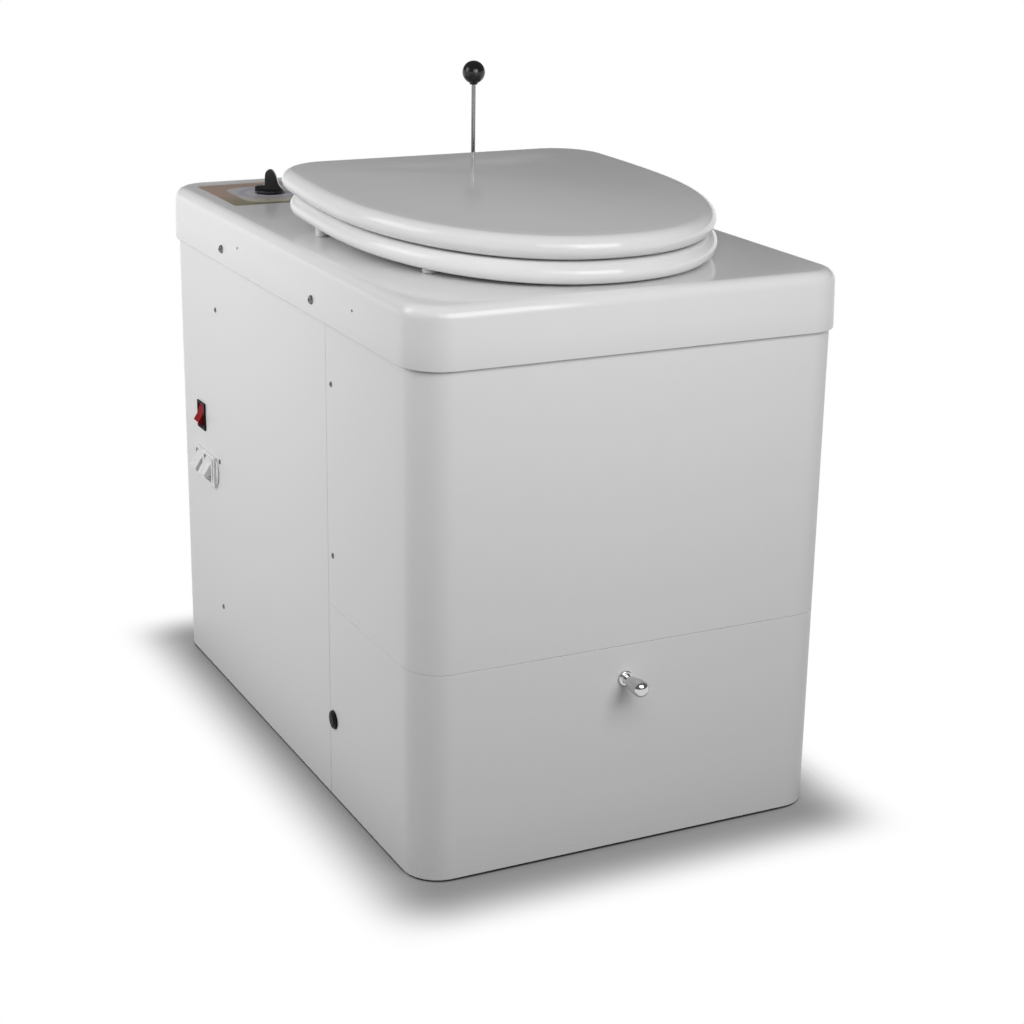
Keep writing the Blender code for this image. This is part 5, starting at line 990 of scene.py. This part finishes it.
# Switches
BREAKER_SETBACKS = (0.5505, 0.5626, 0.5834, 0.5925, 0.6120, 0.6150)
CLIP_FOOT = 0.2298
CLIP_HEAD = 0.2557
CLIP_REACH = 0.0065
CLIP_PROUD = 0.0016
BREAKER_PIN = (from_front(0.5674), 0.2228)
BREAKER_PIN_RADIUS = 0.0019
BREAKER_EDGE = 0.0007
TOGGLE_EDGE = 0.0008
BEZEL_EDGE = 0.0005
ROCKER_EDGE = 0.0005
ROCKER_FACE = ((0.0036, 0.0112), (0.0060, 0.0022), (0.0110, -0.0058), (0.0052, -0.0110), (0.0010, -0.0118),
               (-0.0040, -0.0090), (-0.0040, 0.0090), (0.0005, 0.0118))


def make_rocker():
    """Red rocker: a bent face, given as places out from its pivot and above it, whose lower end stands out
    in a sharp tip, carried straight across the bezel."""
    low, high = span("power_rocker")
    pivot = np.array(next(joint["pos_m"] for joint in frame["joints"] if joint["name"] == "power_rock"))
    outline = np.array(ROCKER_FACE) * np.array([-1, 1]) + pivot[[0, 2]]
    rocker = piece_from("power_rocker_bent", *prism(outline, low[1], high[1], "Y"), "red_plastic", "power",
                        replaces=("power_rocker",))
    softened(rocker, ROCKER_EDGE, 3)


def make_switches():
    """Black bezel with its rocker, and the white breaker block: two broad toggles with a wide post between
    them, a narrow side bay, a bowed clip beside it and a small pin below."""
    refined("power_switch_body", BEZEL_EDGE, look="bezel_black")
    make_rocker()
    block_low, block_high = span("breaker_block")
    front_low, front_high = span("breaker_toggle_front")
    rear_low, rear_high = span("breaker_toggle_rear")
    at = [block_low[1], front_low[1], front_high[1], rear_low[1], rear_high[1], block_high[1]]
    to = [from_front(setback) for setback in BREAKER_SETBACKS]
    refined("breaker_block", BREAKER_EDGE, 3, spread=(at, to))
    refined("breaker_toggle_front", TOGGLE_EDGE, 3, spread=(at, to))
    refined("breaker_toggle_rear", TOGGLE_EDGE, 3, spread=(at, to))
    centre = (to[0] - CUT_MARGIN, (CLIP_FOOT + CLIP_HEAD) / 2)
    clip = bow(centre, (CLIP_REACH, (CLIP_HEAD - CLIP_FOOT) / 2), 90, 270, 20)
    clip = piece_from("breaker_clip", *prism(clip, -HALF_WIDTH - CLIP_PROUD, -HALF_WIDTH - CUT_MARGIN, "X"),
                      "white_plastic")
    softened(clip, CLIP_PROUD / 3, 3)
    radius, rise = BREAKER_PIN_RADIUS, BREAKER_PIN_RADIUS / 2
    rows = np.vstack([[(0, 0)], bow((0, 0), (radius, -rise), 0, 90, 8)])
    rows[-1, 0] = 0
    turned("breaker_pin", rows, (-HALF_WIDTH - CUT_MARGIN / 2, *BREAKER_PIN), "zinc_sheet", axis="X",
           steps=24, look="screw_steel")


# Everything else keeps its CAD solid, with rounded edges

def make_inside():
    """Frame, mechanism, chamber, exhaust and drawer parts."""
    for node in ("hinge_post_left", "hinge_post_right", "lid_arm_left", "lid_arm_right", "seat_arm_left",
                 "seat_arm_right", "base_pan", "front_post_left", "front_post_right", "rear_post_left",
                 "rear_post_right", "lever_hub", "lever_bracket", "link_bar", "chamber_shelf", "fan_housing",
                 "fan_motor", "drawer_tray", "drawer_runner_left", "drawer_runner_right", "control_box",
                 "trap_flap", "flap_shaft", "lever_pivot_pin", "thermocouple", "fan_impeller", "flue_collar",
                 "throat", "combustion_chamber", "heating_element", "exhaust_duct", "insulation_jacket",
                 "timer_body", "mains_inlet", "lever_slot_trim", "ash_pan", "bowl"):
        refined(node)


# Studio. Each lamp has its name, its place, the point that it faces, its size, its power in watts, and
# whether glossy surfaces mirror it.
WORLD_TOP = 0.155
WORLD_EDGE = (0.05, 0.15)
FLOOR_REACH = 8.0
FLOOR_DEPTH = 0.02
FLOOR_GREY = (0.14, 0.14, 0.14)
SHADOW_DEPTH = 0.457
SHADOW_WIDTH = 0.058
SHADOW_LOW = (-0.247, -0.398)
SHADOW_HIGH = (0.240, 0.376)
CONTACT_REACH = 0.06
CONTACT_SAMPLES = 16
TONE_POWER = 2.2
LAMPS = (
    ("left_near_softbox", (-0.95, 0.30, 1.05), (-0.216, 0.05, 0.45), (0.6, 0.6), 3.0, True),
    ("left_far_softbox", (-1.30, 0.30, 0.85), (-0.216, 0.0, 0.40), (0.9, 0.8), 8.4, False),
    ("front_softbox", (0.20, -1.41, 1.20), (0.0, -0.345, 0.45), (0.7, 0.7), 7.3, True),
    ("front_near_softbox", (-0.30, -1.15, 1.10), (0.0, -0.345, 0.45), (0.6, 0.6), 3.0, True),
    ("front_low_softbox", (0.10, -1.45, 0.80), (0.0, -0.345, 0.45), (0.8, 0.4), 2.2, True),
    ("rear_right_softbox", (1.25, 1.05, 0.40), (0.15, 0.25, 0.28), (0.9, 0.5), 8.0, False),
)


def maths(add, operation, first, second):
    """A value worked out from two, each a number or a socket."""
    return add("ShaderNodeMath", {0: first, 1: second}, operation=operation).outputs[0]


def make_world():
    """White to the camera. Reflections see a studio whose white backdrop stands low under a dim ceiling,
    and all else is lit by that dim ceiling alone."""
    world = bpy.data.worlds.new("studio")
    bpy.context.scene.world = world
    world.use_nodes = True
    tree = world.node_tree
    tree.nodes.clear()
    add = adder(tree)
    place = add("ShaderNodeTexCoord").outputs["Generated"]
    height = add("ShaderNodeSeparateXYZ", {"Vector": place}).outputs["Z"]
    sky = add("ShaderNodeMapRange", {"Value": height, "From Min": WORLD_EDGE[0], "From Max": WORLD_EDGE[1],
                                     "To Min": 1.0, "To Max": 0.0}, interpolation_type="SMOOTHSTEP")
    path = add("ShaderNodeLightPath").outputs
    reflected = maths(add, "MAXIMUM", path["Is Glossy Ray"], path["Is Transmission Ray"])
    backdrop = maths(add, "MULTIPLY", sky.outputs[0], reflected)
    strength = maths(add, "MAXIMUM", maths(add, "MAXIMUM", backdrop, path["Is Camera Ray"]), WORLD_TOP)
    light = add("ShaderNodeBackground", {"Color": (1, 1, 1, 1), "Strength": strength})
    add("ShaderNodeOutputWorld", {"Surface": light.outputs[0]})


def make_floor():
    """A pale floor that looks white, with the object's soft shadow: a rectangle whose four edges are
    smoother steps, and the darker contact of whatever stands close to the floor."""
    mesh = bpy.data.meshes.new("floor")
    verts, faces = block((-FLOOR_REACH, -FLOOR_REACH, -FLOOR_DEPTH),
                         (FLOOR_REACH, FLOOR_REACH, -CUT_MARGIN))
    mesh.from_pydata(verts, [], faces)
    tidy(mesh)
    floor = bpy.data.objects.new("floor", mesh)
    bpy.context.scene.collection.objects.link(floor)
    made = bpy.data.materials.new("floor")
    made.use_nodes = True
    tree = made.node_tree
    tree.nodes.clear()
    add = adder(tree)
    place = add("ShaderNodeSeparateXYZ", {"Vector": add("ShaderNodeTexCoord").outputs["Object"]})
    shade = SHADOW_DEPTH
    for axis in (0, 1):
        for edge, rising in ((SHADOW_LOW[axis], True), (SHADOW_HIGH[axis], False)):
            step = add("ShaderNodeMapRange", {
                "Value": place.outputs[axis],
                "From Min": edge - SHADOW_WIDTH, "From Max": edge + SHADOW_WIDTH,
                "To Min": 0.0 if rising else 1.0, "To Max": 1.0 if rising else 0.0},
                interpolation_type="SMOOTHERSTEP")
            shade = maths(add, "MULTIPLY", step.outputs[0], shade)
    closed = add("ShaderNodeAmbientOcclusion", {"Distance": CONTACT_REACH}, samples=CONTACT_SAMPLES)
    tone = maths(add, "MINIMUM", maths(add, "SUBTRACT", 1.0, shade), closed.outputs["AO"])
    tone = maths(add, "POWER", tone, TONE_POWER)
    seen = add("ShaderNodeEmission", {"Color": (1, 1, 1, 1), "Strength": tone})
    bounce = add("ShaderNodeBsdfDiffuse", {"Color": (*FLOOR_GREY, 1)})
    path = add("ShaderNodeLightPath").outputs
    looked = maths(add, "MAXIMUM", path["Is Camera Ray"], path["Is Glossy Ray"])
    looked = maths(add, "MAXIMUM", looked, path["Is Transmission Ray"])
    surface = add("ShaderNodeMixShader", {0: looked, 1: bounce.outputs[0], 2: seen.outputs[0]})
    add("ShaderNodeOutputMaterial", {"Surface": surface.outputs[0]})
    mesh.materials.append(made)


def soft_light(name, place, target, size, power, mirrored):
    """A rectangular lamp that faces a point, and that glossy surfaces mirror or not."""
    lamp = bpy.data.lights.new(name, "AREA")
    lamp.shape = "RECTANGLE"
    lamp.size, lamp.size_y = size
    lamp.energy = power
    made = bpy.data.objects.new(name, lamp)
    made.visible_camera = False
    made.visible_glossy = mirrored
    bpy.context.scene.collection.objects.link(made)
    made.location = place
    made.rotation_euler = (Vector(place) - Vector(target)).to_track_quat("Z", "Y").to_euler()


# Camera: where the photograph was taken from, found from the casing's straight edges
CAMERA_PLACE = (-0.9065, -1.9135, 0.9289)
CAMERA_YAW = 26.4535
CAMERA_PITCH = 18.2447
CAMERA_ROLL = 0.8709
CAMERA_LENS = 73.59
CAMERA_SENSOR = 36.0
CAMERA_REACH = 60.0


def make_camera():
    """The camera, from its yaw to the right of +Y, its pitch down and its roll."""
    yaw, pitch, roll = (math.radians(a) for a in (CAMERA_YAW, CAMERA_PITCH, CAMERA_ROLL))
    forward = np.array([math.sin(yaw) * math.cos(pitch), math.cos(yaw) * math.cos(pitch), -math.sin(pitch)])
    level = np.array([math.cos(yaw), -math.sin(yaw), 0])
    up = np.cross(level, forward)
    right = math.cos(roll) * level + math.sin(roll) * up
    top = -math.sin(roll) * level + math.cos(roll) * up
    matrix = np.eye(4)
    matrix[:3, 0], matrix[:3, 1], matrix[:3, 2], matrix[:3, 3] = right, top, -forward, CAMERA_PLACE
    data = bpy.data.cameras.new("camera")
    data.lens = CAMERA_LENS
    data.sensor_width = CAMERA_SENSOR
    data.clip_end = CAMERA_REACH
    camera = bpy.data.objects.new("camera", data)
    camera.matrix_world = Matrix(matrix.tolist())
    bpy.context.scene.collection.objects.link(camera)
    bpy.context.scene.camera = camera


def make_studio():
    """World, floor, lamps, camera and the plain view transform."""
    make_world()
    make_floor()
    for lamp in LAMPS:
        soft_light(*lamp)
    make_camera()
    bpy.context.scene.view_settings.view_transform = "Standard"


make_casing()
make_cover()
make_seat_ring()
make_lid()
make_buffers()
make_lever()
make_knob()
make_plug()
make_label()
make_numbers()
make_timer()
make_switches()
make_screws()
make_inside()
make_studio()
